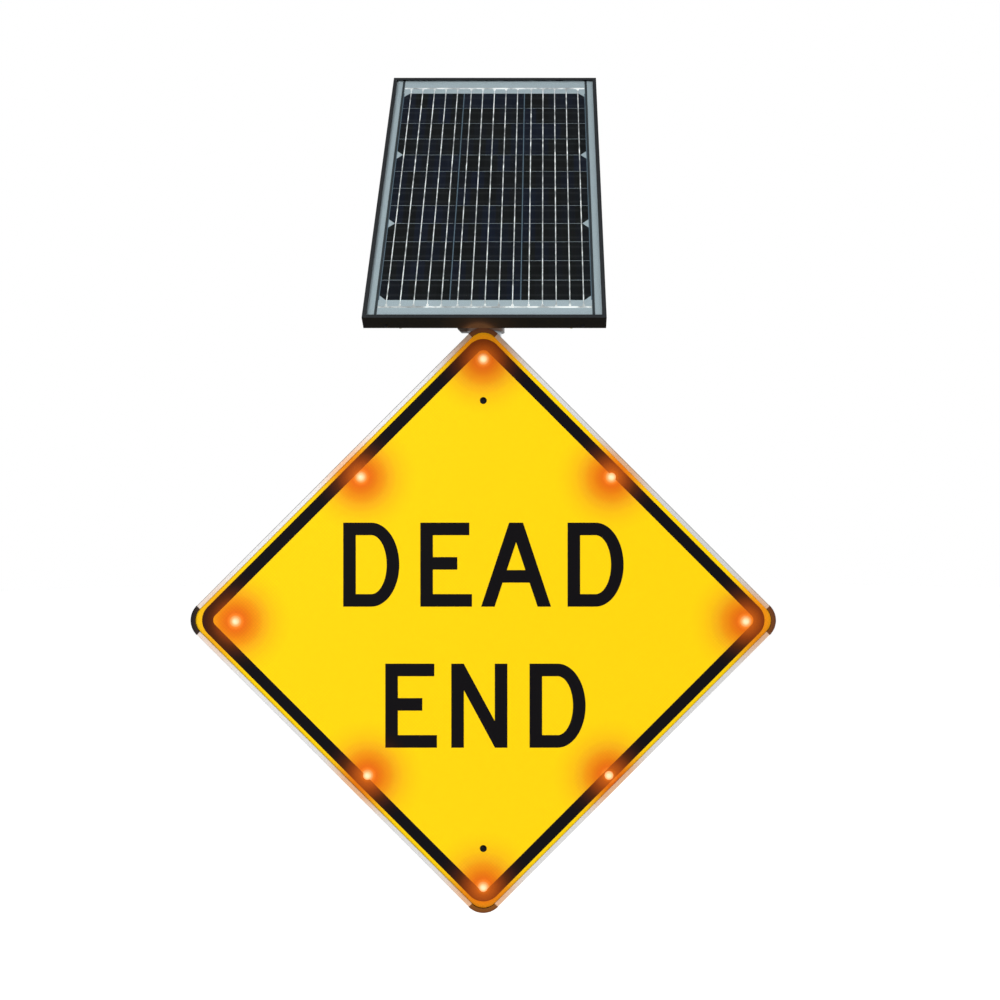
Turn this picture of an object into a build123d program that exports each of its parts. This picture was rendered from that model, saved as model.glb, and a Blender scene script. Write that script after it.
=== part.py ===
from build123d import *
import os
from math import cos, radians, sin, sqrt

# Solar powered warning sign on a mast head. Millimetres, +Z up, the sign faces -Y.
# The origin is at the middle of the mast's open lower end, on the mast's axis.

# Mast
MAST_OD = 60.0
MAST_WALL = 3.0
MAST_BELOW = 480.0  # mast below the sign's centre
MAST_ABOVE = 600.0  # mast above the sign's centre

# Sign face: a square with rounded corners, stood on one corner
SHEET_SIDE = 762.0
SHEET_R = 29.5
PLATE_T = 2.0
SHEETING_T = 0.3
FILM_T = 0.25
BORDER_INSET = 7.1
BORDER_W = 20.6
BORDER_OUTER_R = 34.0
BORDER_INNER_R = 12.5
BOX_DEPTH = 30.0  # from the sheeting to the back of the box

# Hollow edge extrusions and the caps that join them
EDGE_W = 8.25
EDGE_LIP = 3.0  # stands in front of the sheeting
EDGE_WALL = 2.0
EDGE_CHAMFER = 1.2
LEDGE_W = 9.0
LEDGE_T = 2.0
REAR_PLATE_T = 2.0
SHEET_GAP = 0.2  # between the sheets and the extrusions around them
CAP_PROUD = 0.4
SPIGOT_LENGTH = 25.0
SPIGOT_GAP = 0.15
REAR_SCREW_R = 1.9
REAR_SCREW_HEAD_R = 3.5
REAR_SCREW_HEAD_H = 2.4
REAR_SCREW_SPACING = 250.0
RECESS_W = 0.8
RECESS_REACH = 0.55  # of a screw head's radius

# Legend
LETTER_H = 153.8
STROKE = 23.0
ROUND_LETTER_W = 102.6
E_TOP_W = 89.7
E_MIDDLE_W = 67.7
E_BOTTOM_W = 94.5
BAR_LOW = 44.0  # underside of an A's crossbar
BAR_HIGH = 67.8  # underside of an E's middle bar
A_FOOT = 64.0
A_APEX = 12.8
A_LEG = 24.7
N_SLOPE = 0.54
N_DIAGONAL = 26.0
ROWS = (
    (24.7, (("D", -256.4), ("E", -115.3), ("A", -4.0), ("D", 154.2))),
    (-233.4, (("E", -179.4), ("N", -58.6), ("D", 84.6))),
)

# Warning lamps
LAMPS = (
    (0.0, 478.0),
    (234.5, 262.0),
    (480.5, -2.0),
    (230.0, -284.0),
    (0.0, -489.0),
    (-212.0, -284.0),
    (-453.5, -2.0),
    (-224.0, 262.0),
)
LENS_R = 6.0
LENS_DOME = 3.0
LENS_FLANGE_R = 8.0
LENS_FLANGE_T = 0.8
BARREL_R = 5.0
BARREL_LENGTH = 9.0
BARREL_GAP = 0.3
THREAD_GAP = 0.05
LAMP_NUT = 14.0
LAMP_NUT_T = 4.0
LAMP_BOARD_R = 9.0
LAMP_BOARD_T = 1.6

# Bolts that hold the sign and the cabinet to their brackets
SIGN_BOLTS = (402.0, -418.0)  # above and below the sign's centre
BOLT_R = 4.0
BOLT_HOLE_R = 4.4
BOLT_HEAD_R = 6.4
BOLT_HEAD_H = 3.2
BOLT_KEY = 5.0
BOLT_HEX = 13.0
BOLT_HEX_HEAD_H = 5.3
BOLT_NUT_T = 6.5
BOLT_PROUD = 2.5  # thread past its nut
SPACER_WALL = 3.6

# Hat shaped brackets between the mast and what it carries, and their U-bolts
BRACKET_DEPTH = 20.0
BRACKET_T = 4.0
BRACKET_H = 44.0
BRACKET_HALF_W = 62.0
SADDLE_HALF_W = 22.0
SADDLE_REACH = 10.0  # how far the wings reach back beside the mast
MAST_GAP = 0.05

# Control cabinet on the back of the mast
CABINET_W = 200.0
CABINET_H = 300.0
CABINET_D = 110.0
CABINET_WALL = 2.0
CABINET_BELOW = 190.0  # cabinet floor below the sign's centre
CABINET_BRACKET_INSET = 60.0
RIM_W = 12.0
HOOD_REACH = 17.0
HOOD_SIDE = 4.0
HOOD_T = 1.5
STANDOFF_R = 5.0
STANDOFF_H = 10.0
STANDOFF_INSET = 30.0
MOUNT_PLATE_T = 2.0
MOUNT_PLATE_INSET = 14.0
PLATE_SCREW_R = 2.0
PLATE_SCREW_HEAD_R = 3.8
PLATE_SCREW_HEAD_H = 2.8
PLATE_SCREW_DEPTH = 6.0
GLAND_SPACING = 60.0
GLAND_THREAD_R = 8.0
GLAND_BORE_R = 3.5
GLAND_HEX = 19.0
GLAND_DROP = 20.0
GLAND_COLLAR_T = 6.0
GLAND_NUT_T = 5.0
GLAND_PROUD = 3.0  # thread past the nut
GLAND_DOME_H = 4.0
GLAND_DOME_R = 8.5
GLAND_MOUTH_R = 5.5
DOOR_T = 2.5
DOOR_MARGIN = 1.0
GASKET_T = 2.8
GASKET_W = 8.0
GASKET_GAP = 0.2
HINGE_OFFSET = 4.5
KNUCKLE_R = 4.0
HINGE_PIN_R = 2.0
PIN_HEAD_R = 3.0
PIN_HEAD_H = 1.5
PIN_TAIL = 1.0  # below the lowest knuckle
PIN_GAP = 0.05
HINGE_LENGTH = 60.0
HINGE_MIDDLE = 20.0
HINGE_GAP = 0.3
HINGE_LEAF = 22.0
HINGE_INSET = 60.0
LATCH_INSET = 22.0
LATCH_R = 8.0
LATCH_HEAD_R = 12.0
LATCH_HEAD_T = 3.0
LATCH_SLOT = 2.0
CAM_REACH = 16.0
CAM_W = 12.0
CAM_T = 2.0
CAM_GAP = 0.6

# What the cabinet holds
BATTERY_W = 151.0
BATTERY_D = 65.0
BATTERY_H = 94.0
BATTERY_LID_H = 10.0
BATTERY_TAB = 6.0
BATTERY_TAB_W = 6.0
BATTERY_TAB_T = 1.0
BATTERY_TAB_IN = 12.0  # from the battery's end
BATTERY_TAB_BACK = 10.0
BATTERY_STEP = 1.0  # the case stands in from its lid
CONTROLLER_W = 120.0
CONTROLLER_H = 75.0
CONTROLLER_D = 28.0
CONTROLLER_UP = 190.0
DISPLAY_PROUD = 2.0
DISPLAY_FRAME = 4.0
DISPLAY_DEPTH = 1.0
DISPLAY_IN = 8.0  # below the controller's top
CONTROLLER_MOUTHS = 6
MOUTH_W = 10.0
MOUTH_T = 7.0
MOUTH_IN = 3.0  # behind the controller's face
MOUTH_DEPTH = 8.0
RAIL_UP = 150.0
DIN_W = 35.0
DIN_D = 7.5
DIN_T = 1.0
DIN_BASE = 24.0
DIN_LENGTH = 140.0
TERMINAL_W = 8.0
TERMINAL_COUNT = 10
TERMINAL_H = 44.0
TERMINAL_D = 28.0
TERMINAL_GAP = 0.2
TERMINAL_SCREW_R = 2.5
TERMINAL_SCREW_DEPTH = 3.0
TERMINAL_SCREW_IN = 8.0
FIT_GAP = 1.0  # between loose pieces inside the cabinet

# Swivelling head on top of the mast
SLEEVE_GAP = 0.1
SLEEVE_WALL = 6.0
SLEEVE_LENGTH = 62.0
SLEEVE_TOP_T = 8.0
LUG_REACH = 17.0
LUG_T = 8.0
LUG_SLIT = 3.0
LUG_CHAMFER = 7.0
PIVOT_ABOVE = 688.0  # tilt axis above the sign's centre
CHEEK_T = 6.0
CHEEK_GAP = 0.5
CHEEK_R = 18.0
TILT_BOLT_R = 6.0
TILT_BOLT_HEX = 18.0
TILT_BOLT_HEAD_H = 7.5
TILT_NUT_T = 10.0
TILT_GAP = 0.05
HEAD_BOLT_LENGTH = 28.0

# Solar panel
PANEL_TILT = 36.7  # back from upright, degrees
TILT_UP = 15.0
TILT_DOWN = 52.0
PANEL_W = 417.0
PANEL_L = 700.0
PANEL_X = 9.5  # clamped a little to the right of the mast
PANEL_D = 25.0
PIVOT_BACK = 90.0  # tilt axis behind the panel's front
PIVOT_UP = 264.0  # tilt axis above the panel's lower edge
RAIL_WALL = 2.0
RAIL_LIP = 7.5
RAIL_LIP_T = 1.5
RAIL_FLANGE = 38.0
GLASS_T = 3.2
RIBBON_T = 0.2
CELL_T = 0.2
BACKSHEET_T = 0.4
LAMINATE_GAP = 0.3
COLUMNS = 3
ROW_COUNT = 12
COLUMN_PITCH = 122.8
ROW_PITCH = 50.4
COLUMN_GAP = 1.8
ROW_GAP = 0.9
CELL_CHAMFER = 11.0
ROWS_PER_WAFER = 4
CELLS_UP = 47.7
RIBBONS = 5
RIBBON_PITCH = 23.7
RIBBON_W = 1.6
FOOT_W = 4.0
FOOT_L = 5.0
COLLECTOR_W = 4.0
COLLECTOR_OUT = 15.0
SEAL_W = 4.6
SEAL_GAP = 0.5
KEY_LEG = 50.0
KEY_W = 12.0
KEY_GAP = 0.1
KEY_SCREW_IN = 39.5
KEY_SCREW_R = 1.6
KEY_SCREW_HEAD_R = 2.7
KEY_SCREW_HEAD_H = 2.6
KEY_SCREW_BACK = 20.5  # behind the panel's front
KEY_SCREW_LENGTH = 9.0

# Rails behind the panel, its tilt bracket and its junction box
TUBE_W = 30.0
TUBE_D = 20.0
TUBE_T = 2.0
TUBE_X = 150.0
TUBE_INSET = 22.0
PANEL_BOLT_R = 3.0
PANEL_BOLT_HEX = 10.0
PANEL_BOLT_HEAD_H = 2.6
PANEL_BOLT_LENGTH = 30.0
PANEL_NUT_T = 5.0
PANEL_BOLT_IN = 30.0
CROSS_HALF_W = 178.0
CROSS_H = 60.0
CROSS_D = 15.0
CROSS_T = 3.0
CROSS_BOLT_UP = 14.0
LEG_X = 20.0
LEG_T = 5.0
LEG_R = 16.0
LEG_FOOT = 25.0
SLOT_RADIUS = 46.0
SLOT_GAP = 0.3
SLOT_SPARE = 5.0  # degrees past each stop
QUADRANT_R = 58.0
JUNCTION_W = 100.0
JUNCTION_H = 76.0
JUNCTION_D = 21.0
JUNCTION_LID_T = 3.0
JUNCTION_UP = 590.0
JUNCTION_GLAND_R = 7.0

# Places that follow from the sizes above
MAST_R = MAST_OD / 2
FACE_Y = -(MAST_R + BRACKET_DEPTH + BOX_DEPTH)
SIGN_Z = MAST_BELOW
MAST_TOP = SIGN_Z + MAST_ABOVE
SIGN = Plane(origin=(0, FACE_Y, SIGN_Z), x_dir=(1, 0, 0), z_dir=(0, -1, 0)).location
PLATE_BACK = -(SHEETING_T + PLATE_T)
REAR_FRONT = -BOX_DEPTH + REAR_PLATE_T
U_BOLT_X = MAST_R + MAST_GAP + BOLT_R
CABINET_Y = MAST_R + BRACKET_DEPTH
CABINET_Z = SIGN_Z - CABINET_BELOW
CABINET_TOP = CABINET_Z + CABINET_H
CABINET_MOUTH = CABINET_Y + CABINET_D
CABINET_BOLTS = (
    CABINET_Z + CABINET_BRACKET_INSET,
    CABINET_TOP - CABINET_BRACKET_INSET,
)
MOUNT_PLATE_Y = CABINET_Y + CABINET_WALL + STANDOFF_H
EQUIPMENT_Y = MOUNT_PLATE_Y + MOUNT_PLATE_T
DOOR_Y = CABINET_MOUTH + GASKET_GAP + GASKET_T
HINGE_X = -CABINET_W / 2 - HINGE_OFFSET
HINGE_Y = DOOR_Y - 0.5
LATCH_X = CABINET_W / 2 - LATCH_INSET
LATCH_Z = (CABINET_Z + CABINET_TOP) / 2
PIVOT_Z = SIGN_Z + PIVOT_ABOVE
CHEEK_X = LEG_X + LEG_T + CHEEK_GAP
TILT_COS = cos(radians(PANEL_TILT))
TILT_SIN = sin(radians(PANEL_TILT))
PANEL = Plane(
    origin=(
        PANEL_X,
        -PIVOT_UP * TILT_SIN - PIVOT_BACK * TILT_COS,
        PIVOT_Z - PIVOT_UP * TILT_COS + PIVOT_BACK * TILT_SIN,
    ),
    x_dir=(1, 0, 0),
    z_dir=(0, -TILT_COS, TILT_SIN),
).location
GLASS_BACK = -RAIL_LIP_T - GLASS_T
CELL_FRONT = GLASS_BACK - RIBBON_T
BACKSHEET_FRONT = CELL_FRONT - CELL_T
BACKSHEET_BACK = BACKSHEET_FRONT - BACKSHEET_T
LAMINATE_INSET = RAIL_WALL + LAMINATE_GAP
CELLS_TOP = CELLS_UP + ROW_COUNT * ROW_PITCH
CELLS_W = COLUMNS * COLUMN_PITCH
TUBE_BACK = -PANEL_D - TUBE_D
# The panel's bolts clamp a frame flange to a tube, or a tube to the cross channel.
PANEL_BOLT_PLACES = tuple(
    (side * TUBE_X, up, front, front - stack)
    for side in (-1, 1)
    for up, front, stack in (
        (PANEL_BOLT_IN, -PANEL_D + RAIL_LIP_T, RAIL_LIP_T + TUBE_D),
        (PIVOT_UP - CROSS_BOLT_UP, -PANEL_D, TUBE_D + CROSS_T),
        (PIVOT_UP + CROSS_BOLT_UP, -PANEL_D, TUBE_D + CROSS_T),
        (PANEL_L - PANEL_BOLT_IN, -PANEL_D + RAIL_LIP_T, RAIL_LIP_T + TUBE_D),
    )
)

parts = {}


def block(x0, x1, y0, y1, z0, z1):
    """A box between two opposite corners."""
    size = Box(x1 - x0, y1 - y0, z1 - z0)
    return Pos((x0 + x1) / 2, (y0 + y1) / 2, (z0 + z1) / 2) * size


def rod(radius, x, y, z0, z1):
    """A round bar along Z."""
    return Pos(x, y, (z0 + z1) / 2) * Cylinder(radius, z1 - z0)


def hexagon(across, x, y, z0, z1):
    """A hexagonal bar along Z, with a flat facing +X."""
    outline = RegularPolygon(across / 2, 6, major_radius=False)
    return Pos(x, y, z0) * Rot(0, 0, 30) * extrude(outline, z1 - z0)


def domed_head(radius, height):
    """A low domed head that stands on zero."""
    dome_r = (radius**2 + height**2) / (2 * height)
    return Pos(0, 0, height - dome_r) * Sphere(dome_r) & rod(radius, 0, 0, 0, height)


def cross_head(radius, height):
    """A domed screw head with a cross recess."""
    arm = radius * RECESS_REACH
    half = RECESS_W / 2
    head = domed_head(radius, height)
    head -= block(-arm, arm, -half, half, height / 2, height + 1)
    return head - block(-half, half, -arm, arm, height / 2, height + 1)


def bolt_bar(head, shank_r, length):
    """A bolt along Z: its head is above zero and its shank runs down from it."""
    return head + rod(shank_r, 0, 0, -length, 0.5)


def diamond(side, radius, z0, z1):
    """A square slab with rounded corners, stood on one corner."""
    outline = RectangleRounded(side, side, radius)
    return Pos(0, 0, z0) * Rot(0, 0, 45) * extrude(outline, z1 - z0)


def bolt_holes(radius, z0, z1):
    """The holes of the two sign bolts, along the sign's own Z."""
    return [rod(radius, 0, y, z0, z1) for y in SIGN_BOLTS]


# ---- Sign box


def edge_extrusion(turn):
    """One hollow side of the box, with a ledge under each sheet."""
    profile = Polygon(
        (0, -BOX_DEPTH),
        (EDGE_W - EDGE_CHAMFER, -BOX_DEPTH),
        (EDGE_W, -BOX_DEPTH + EDGE_CHAMFER),
        (EDGE_W, EDGE_LIP - EDGE_CHAMFER),
        (EDGE_W - EDGE_CHAMFER, EDGE_LIP),
        (0, EDGE_LIP),
        (0, PLATE_BACK),
        (-LEDGE_W, PLATE_BACK),
        (-LEDGE_W, PLATE_BACK - LEDGE_T),
        (0, PLATE_BACK - LEDGE_T),
        (0, REAR_FRONT + LEDGE_T),
        (-LEDGE_W, REAR_FRONT + LEDGE_T),
        (-LEDGE_W, REAR_FRONT),
        (0, REAR_FRONT),
        align=None,
    )
    hollow_h = BOX_DEPTH + EDGE_LIP - 2 * EDGE_WALL
    hollow = Rectangle(EDGE_W - 2 * EDGE_WALL, hollow_h)
    profile -= Pos(EDGE_W / 2, (EDGE_LIP - BOX_DEPTH) / 2) * hollow
    length = SHEET_SIDE - 2 * SHEET_R
    start = Plane(origin=(-length / 2, SHEET_SIDE / 2, 0), x_dir=(0, 1, 0), z_dir=(1, 0, 0))
    side = start.location * extrude(profile, length)
    side -= [rod(REAR_SCREW_R + THREAD_GAP, x, y, -BOX_DEPTH, 0) for x, y in screw_line()]
    return SIGN * Rot(0, 0, 45 + turn) * side


def corner_cap(turn):
    """A quarter ring around one corner, with a spigot into each extrusion."""
    outer = EDGE_W + CAP_PROUD
    front = EDGE_LIP + CAP_PROUD
    back = -BOX_DEPTH - CAP_PROUD
    profile = Polygon(
        (SHEET_R, back),
        (SHEET_R + outer - EDGE_CHAMFER, back),
        (SHEET_R + outer, back + EDGE_CHAMFER),
        (SHEET_R + outer, front - EDGE_CHAMFER),
        (SHEET_R + outer - EDGE_CHAMFER, front),
        (SHEET_R, front),
        align=None,
    )
    ring = revolve(Plane.XZ * profile, Axis.Z, 360)
    reach = SHEET_R + outer
    ring &= block(0, reach, 0, reach, back, front)
    near = SHEET_R + EDGE_WALL + SPIGOT_GAP
    far = SHEET_R + EDGE_W - EDGE_WALL - SPIGOT_GAP
    low = -BOX_DEPTH + EDGE_WALL + SPIGOT_GAP
    high = EDGE_LIP - EDGE_WALL - SPIGOT_GAP
    ring += block(near, far, -SPIGOT_LENGTH, 1, low, high)
    ring += block(-SPIGOT_LENGTH, 1, near, far, low, high)
    middle = SHEET_SIDE / 2 - SHEET_R
    return SIGN * Rot(0, 0, 45 + turn) * Pos(middle, middle, 0) * ring


def screw_line():
    """Where the rear plate's screws stand along the upper side of the unturned square."""
    y = SHEET_SIDE / 2 - LEDGE_W / 2
    return [(i * REAR_SCREW_SPACING, y) for i in (-1, 0, 1)]


def screw_ring():
    """Where the rear plate's screws stand around the whole diamond."""
    places = []
    for turn in (45, 135, 225, 315):
        c = cos(radians(turn))
        s = sin(radians(turn))
        places.extend((x * c - y * s, x * s + y * c) for x, y in screw_line())
    return places


def sign_sheets():
    """The face plate with its sheeting, and the rear plate."""
    side = SHEET_SIDE - 2 * SHEET_GAP
    radius = SHEET_R - SHEET_GAP
    lamp_holes = [rod(BARREL_R + BARREL_GAP, x, y, -BOX_DEPTH, 1) for x, y in LAMPS]
    holes = lamp_holes + bolt_holes(BOLT_HOLE_R, -BOX_DEPTH, 1)
    face = diamond(side, radius, PLATE_BACK, -SHEETING_T) - holes
    sheeting = diamond(side, radius, -SHEETING_T, 0) - holes
    rear = diamond(side, radius, -BOX_DEPTH, REAR_FRONT)
    rear -= bolt_holes(BOLT_HOLE_R, -BOX_DEPTH, 0)
    rear -= [rod(REAR_SCREW_R + BARREL_GAP, x, y, -BOX_DEPTH, 0) for x, y in screw_ring()]
    parts["face_plate"] = SIGN * face
    parts["face_sheeting"] = SIGN * sheeting
    parts["rear_plate"] = SIGN * rear
    head = cross_head(REAR_SCREW_HEAD_R, REAR_SCREW_HEAD_H)
    screw = Rot(180, 0, 0) * bolt_bar(head, REAR_SCREW_R, REAR_PLATE_T + LEDGE_T + 1)
    screws = [SIGN * Pos(x, y, -BOX_DEPTH) * screw for x, y in screw_ring()]
    parts["rear_screws"] = Compound(children=screws)


def border_film():
    """The dark band around the face."""
    outer = SHEET_SIDE - 2 * BORDER_INSET
    inner = outer - 2 * BORDER_W
    band = diamond(outer, BORDER_OUTER_R, 0, FILM_T) - diamond(inner, BORDER_INNER_R, -1, 1)
    band -= [rod(LENS_FLANGE_R + SHEET_GAP, x, y, -1, 1) for x, y in LAMPS]
    return SIGN * band


def bar(x0, x1, y0, y1):
    """A flat rectangle of a letter."""
    return Pos((x0 + x1) / 2, (y0 + y1) / 2) * Rectangle(x1 - x0, y1 - y0)


def letter_d():
    """A stem and a half ellipse around a counter of the same form."""
    bow = ROUND_LETTER_W / 2
    middle = LETTER_H / 2
    outer = bar(0, bow, 0, LETTER_H) + Pos(bow, middle) * Ellipse(bow, middle)
    inner = bar(STROKE, bow, STROKE, LETTER_H - STROKE)
    inner += Pos(bow, middle) * Ellipse(bow - STROKE, middle - STROKE) & bar(bow, 2 * bow, 0, LETTER_H)
    return outer & bar(0, ROUND_LETTER_W, 0, LETTER_H) - inner


def letter_e():
    """A stem and three bars."""
    stem = bar(0, STROKE, 0, LETTER_H)
    bottom = bar(0, E_BOTTOM_W, 0, STROKE)
    middle = bar(0, E_MIDDLE_W, BAR_HIGH, BAR_HIGH + STROKE)
    top = bar(0, E_TOP_W, LETTER_H - STROKE, LETTER_H)
    return stem + bottom + middle + top


def letter_a():
    """Two raking legs and a crossbar."""
    rake = (A_FOOT - A_APEX) / LETTER_H
    inner_foot = A_FOOT - A_LEG
    bar_top = BAR_LOW + STROKE
    outline = Polygon(
        (-A_FOOT, 0), (A_FOOT, 0), (A_APEX, LETTER_H), (-A_APEX, LETTER_H), align=None
    )
    low = inner_foot - rake * BAR_LOW
    high = inner_foot - rake * bar_top
    outline -= Polygon((-inner_foot, 0), (inner_foot, 0), (low, BAR_LOW), (-low, BAR_LOW), align=None)
    outline -= Polygon((-high, bar_top), (high, bar_top), (0, inner_foot / rake), align=None)
    return Pos(A_FOOT, 0) * outline


def letter_n():
    """Two stems and a diagonal through the letter's middle."""
    middle = ROUND_LETTER_W / 2
    lean = N_SLOPE * LETTER_H / 2
    half = N_DIAGONAL / 2
    diagonal = Polygon(
        (middle + lean - half, 0),
        (middle + lean + half, 0),
        (middle - lean + half, LETTER_H),
        (middle - lean - half, LETTER_H),
        align=None,
    )
    stems = bar(0, STROKE, 0, LETTER_H)
    stems += bar(ROUND_LETTER_W - STROKE, ROUND_LETTER_W, 0, LETTER_H)
    return stems + (diagonal & bar(0, ROUND_LETTER_W, 0, LETTER_H))


def legend_film():
    """Two rows of plain block letters."""
    shapes = {"D": letter_d(), "E": letter_e(), "A": letter_a(), "N": letter_n()}
    letters = []
    for base, row in ROWS:
        for name, left in row:
            letters.append(SIGN * Pos(left, base, 0) * extrude(shapes[name], FILM_T))
    return Compound(children=letters)


def lamps():
    """Lenses through the face, each with its nut and its lamp board behind."""
    lens = Pos(0, 0, LENS_FLANGE_T) * domed_head(LENS_R, LENS_DOME)
    lens += rod(LENS_FLANGE_R, 0, 0, 0, LENS_FLANGE_T)
    lens += rod(BARREL_R, 0, 0, -BARREL_LENGTH, 0.5)
    nut = hexagon(LAMP_NUT, 0, 0, PLATE_BACK - LAMP_NUT_T, PLATE_BACK)
    nut -= rod(BARREL_R + THREAD_GAP, 0, 0, -BOX_DEPTH, 0)
    board = rod(LAMP_BOARD_R, 0, 0, -BARREL_LENGTH - LAMP_BOARD_T, -BARREL_LENGTH)
    for name, shape in (("lamp_lenses", lens), ("lamp_nuts", nut), ("lamp_boards", board)):
        placed = [SIGN * Pos(x, y, 0) * shape for x, y in LAMPS]
        parts[name] = Compound(children=placed)


def sign_bolts():
    """Two long button head bolts, with the spacers that keep the box from crushing."""
    reach = BOX_DEPTH + BRACKET_T + BOLT_NUT_T + BOLT_PROUD
    head = domed_head(BOLT_HEAD_R, BOLT_HEAD_H)
    head -= hexagon(BOLT_KEY, 0, 0, BOLT_HEAD_H / 2, BOLT_HEAD_H)
    bolt = bolt_bar(head, BOLT_R, reach)
    spacer = rod(BOLT_HOLE_R + SPACER_WALL, 0, 0, REAR_FRONT, PLATE_BACK)
    spacer -= rod(BOLT_HOLE_R, 0, 0, -BOX_DEPTH, 0)
    places = [Pos(0, y, 0) for y in SIGN_BOLTS]
    parts["sign_bolts"] = Compound(children=[SIGN * place * bolt for place in places])
    parts["bolt_spacers"] = Compound(children=[SIGN * place * spacer for place in places])


# ---- Mast and brackets


def mast():
    """A plain round tube, open at its lower end."""
    tube = rod(MAST_R, 0, 0, 0, MAST_TOP)
    return tube - rod(MAST_R - MAST_WALL, 0, 0, -1, MAST_TOP + 1)


def hat_bracket(z):
    """A pressed bracket in front of the mast: a web, two sides and two wings."""
    front = -MAST_R - BRACKET_DEPTH
    wing = -MAST_R + SADDLE_REACH
    side = SADDLE_HALF_W + BRACKET_T
    outline = Polygon(
        (-side, front),
        (side, front),
        (side, wing - BRACKET_T),
        (BRACKET_HALF_W, wing - BRACKET_T),
        (BRACKET_HALF_W, wing),
        (SADDLE_HALF_W, wing),
        (SADDLE_HALF_W, front + BRACKET_T),
        (-SADDLE_HALF_W, front + BRACKET_T),
        (-SADDLE_HALF_W, wing),
        (-BRACKET_HALF_W, wing),
        (-BRACKET_HALF_W, wing - BRACKET_T),
        (-side, wing - BRACKET_T),
        align=None,
    )
    hat = Pos(0, 0, -BRACKET_H / 2) * extrude(outline, BRACKET_H)
    hat -= rod(MAST_R + MAST_GAP, 0, 0, -BRACKET_H, BRACKET_H)
    for x in (-U_BOLT_X, 0, U_BOLT_X):
        hat -= Pos(x, 0, 0) * Rot(90, 0, 0) * rod(BOLT_HOLE_R, 0, 0, 0, MAST_R + BRACKET_DEPTH + 1)
    return Pos(0, 0, z) * hat


def u_bolt(z):
    """A bent rod around the back of the mast, with its legs through the wings."""
    leg = MAST_R - SADDLE_REACH + BRACKET_T + BOLT_NUT_T + BOLT_PROUD
    bend = Pos(U_BOLT_X, 0, 0) * Rot(90, 0, 0) * Circle(BOLT_R)
    bow = revolve(bend, Axis.Z, 180)
    legs = [Pos(x, 0, 0) * Rot(90, 0, 0) * rod(BOLT_R, 0, 0, 0, leg) for x in (-U_BOLT_X, U_BOLT_X)]
    return Pos(0, 0, z) * (bow + legs)


def bracket_nut(x, z, seat):
    """A nut whose seat is at a distance in front of the mast's axis, on its near or far side."""
    nut = hexagon(BOLT_HEX, 0, 0, 0, BOLT_NUT_T) - rod(BOLT_R + THREAD_GAP, 0, 0, -1, BOLT_NUT_T + 1)
    return Pos(x, -seat, z) * Rot(90, 0, 0) * nut


def brackets():
    """The brackets, U-bolts and nuts of the sign, and of the cabinet behind the mast."""
    sign_z = [SIGN_Z + y for y in SIGN_BOLTS]
    wing_seat = MAST_R - SADDLE_REACH + BRACKET_T
    web_seat = MAST_R + BRACKET_DEPTH - BRACKET_T - BOLT_NUT_T
    groups = ((Rot(0, 0, 0), sign_z), (Rot(0, 0, 180), CABINET_BOLTS))
    bolts = []
    nuts = []
    for turn, heights in groups:
        for z in heights:
            bolts.append(turn * u_bolt(z))
            nuts.extend(turn * bracket_nut(x, z, wing_seat) for x in (-U_BOLT_X, U_BOLT_X))
            nuts.append(turn * bracket_nut(0, z, web_seat))
    parts["sign_brackets"] = Compound(children=[hat_bracket(z) for z in sign_z])
    cabinet_hats = [Rot(0, 0, 180) * hat_bracket(z) for z in CABINET_BOLTS]
    parts["cabinet_brackets"] = Compound(children=cabinet_hats)
    parts["u_bolts"] = Compound(children=bolts)
    parts["bracket_nuts"] = Compound(children=nuts)


# ---- Control cabinet


def along_y(shape, x, y, z):
    """A shape built along Z, turned so that its top points along +Y."""
    return Pos(x, y, z) * Rot(-90, 0, 0) * shape


def standoff_places():
    """The four fixings of the mounting plate."""
    half = CABINET_W / 2 - STANDOFF_INSET
    low = CABINET_Z + STANDOFF_INSET
    high = CABINET_TOP - STANDOFF_INSET
    return [(x, z) for x in (-half, half) for z in (low, high)]


def gland_places():
    """The cable entries through the cabinet's floor."""
    y = CABINET_MOUTH - CABINET_WALL - FIT_GAP - GLAND_HEX / sqrt(3)
    return [(i * GLAND_SPACING, y) for i in (-1, 0, 1)]


def hinge_centres():
    """The heights of the two hinges."""
    return (CABINET_Z + HINGE_INSET, CABINET_TOP - HINGE_INSET)


def knuckle(z0, z1):
    """One barrel of a hinge, bored for its pin."""
    barrel = rod(KNUCKLE_R, HINGE_X, HINGE_Y, z0, z1)
    return barrel, rod(HINGE_PIN_R + PIN_GAP, HINGE_X, HINGE_Y, z0 - 1, z1 + 1)


def cabinet_rim():
    """A flat frame welded inside the case's mouth, for the gasket and the latch."""
    half = CABINET_W / 2
    rim = block(
        -half + CABINET_WALL,
        half - CABINET_WALL,
        CABINET_MOUTH - CABINET_WALL,
        CABINET_MOUTH,
        CABINET_Z + CABINET_WALL,
        CABINET_TOP - CABINET_WALL,
    )
    return rim - block(
        -half + RIM_W,
        half - RIM_W,
        CABINET_MOUTH - CABINET_WALL - 1,
        CABINET_MOUTH + 1,
        CABINET_Z + RIM_W,
        CABINET_TOP - RIM_W,
    )


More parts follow.
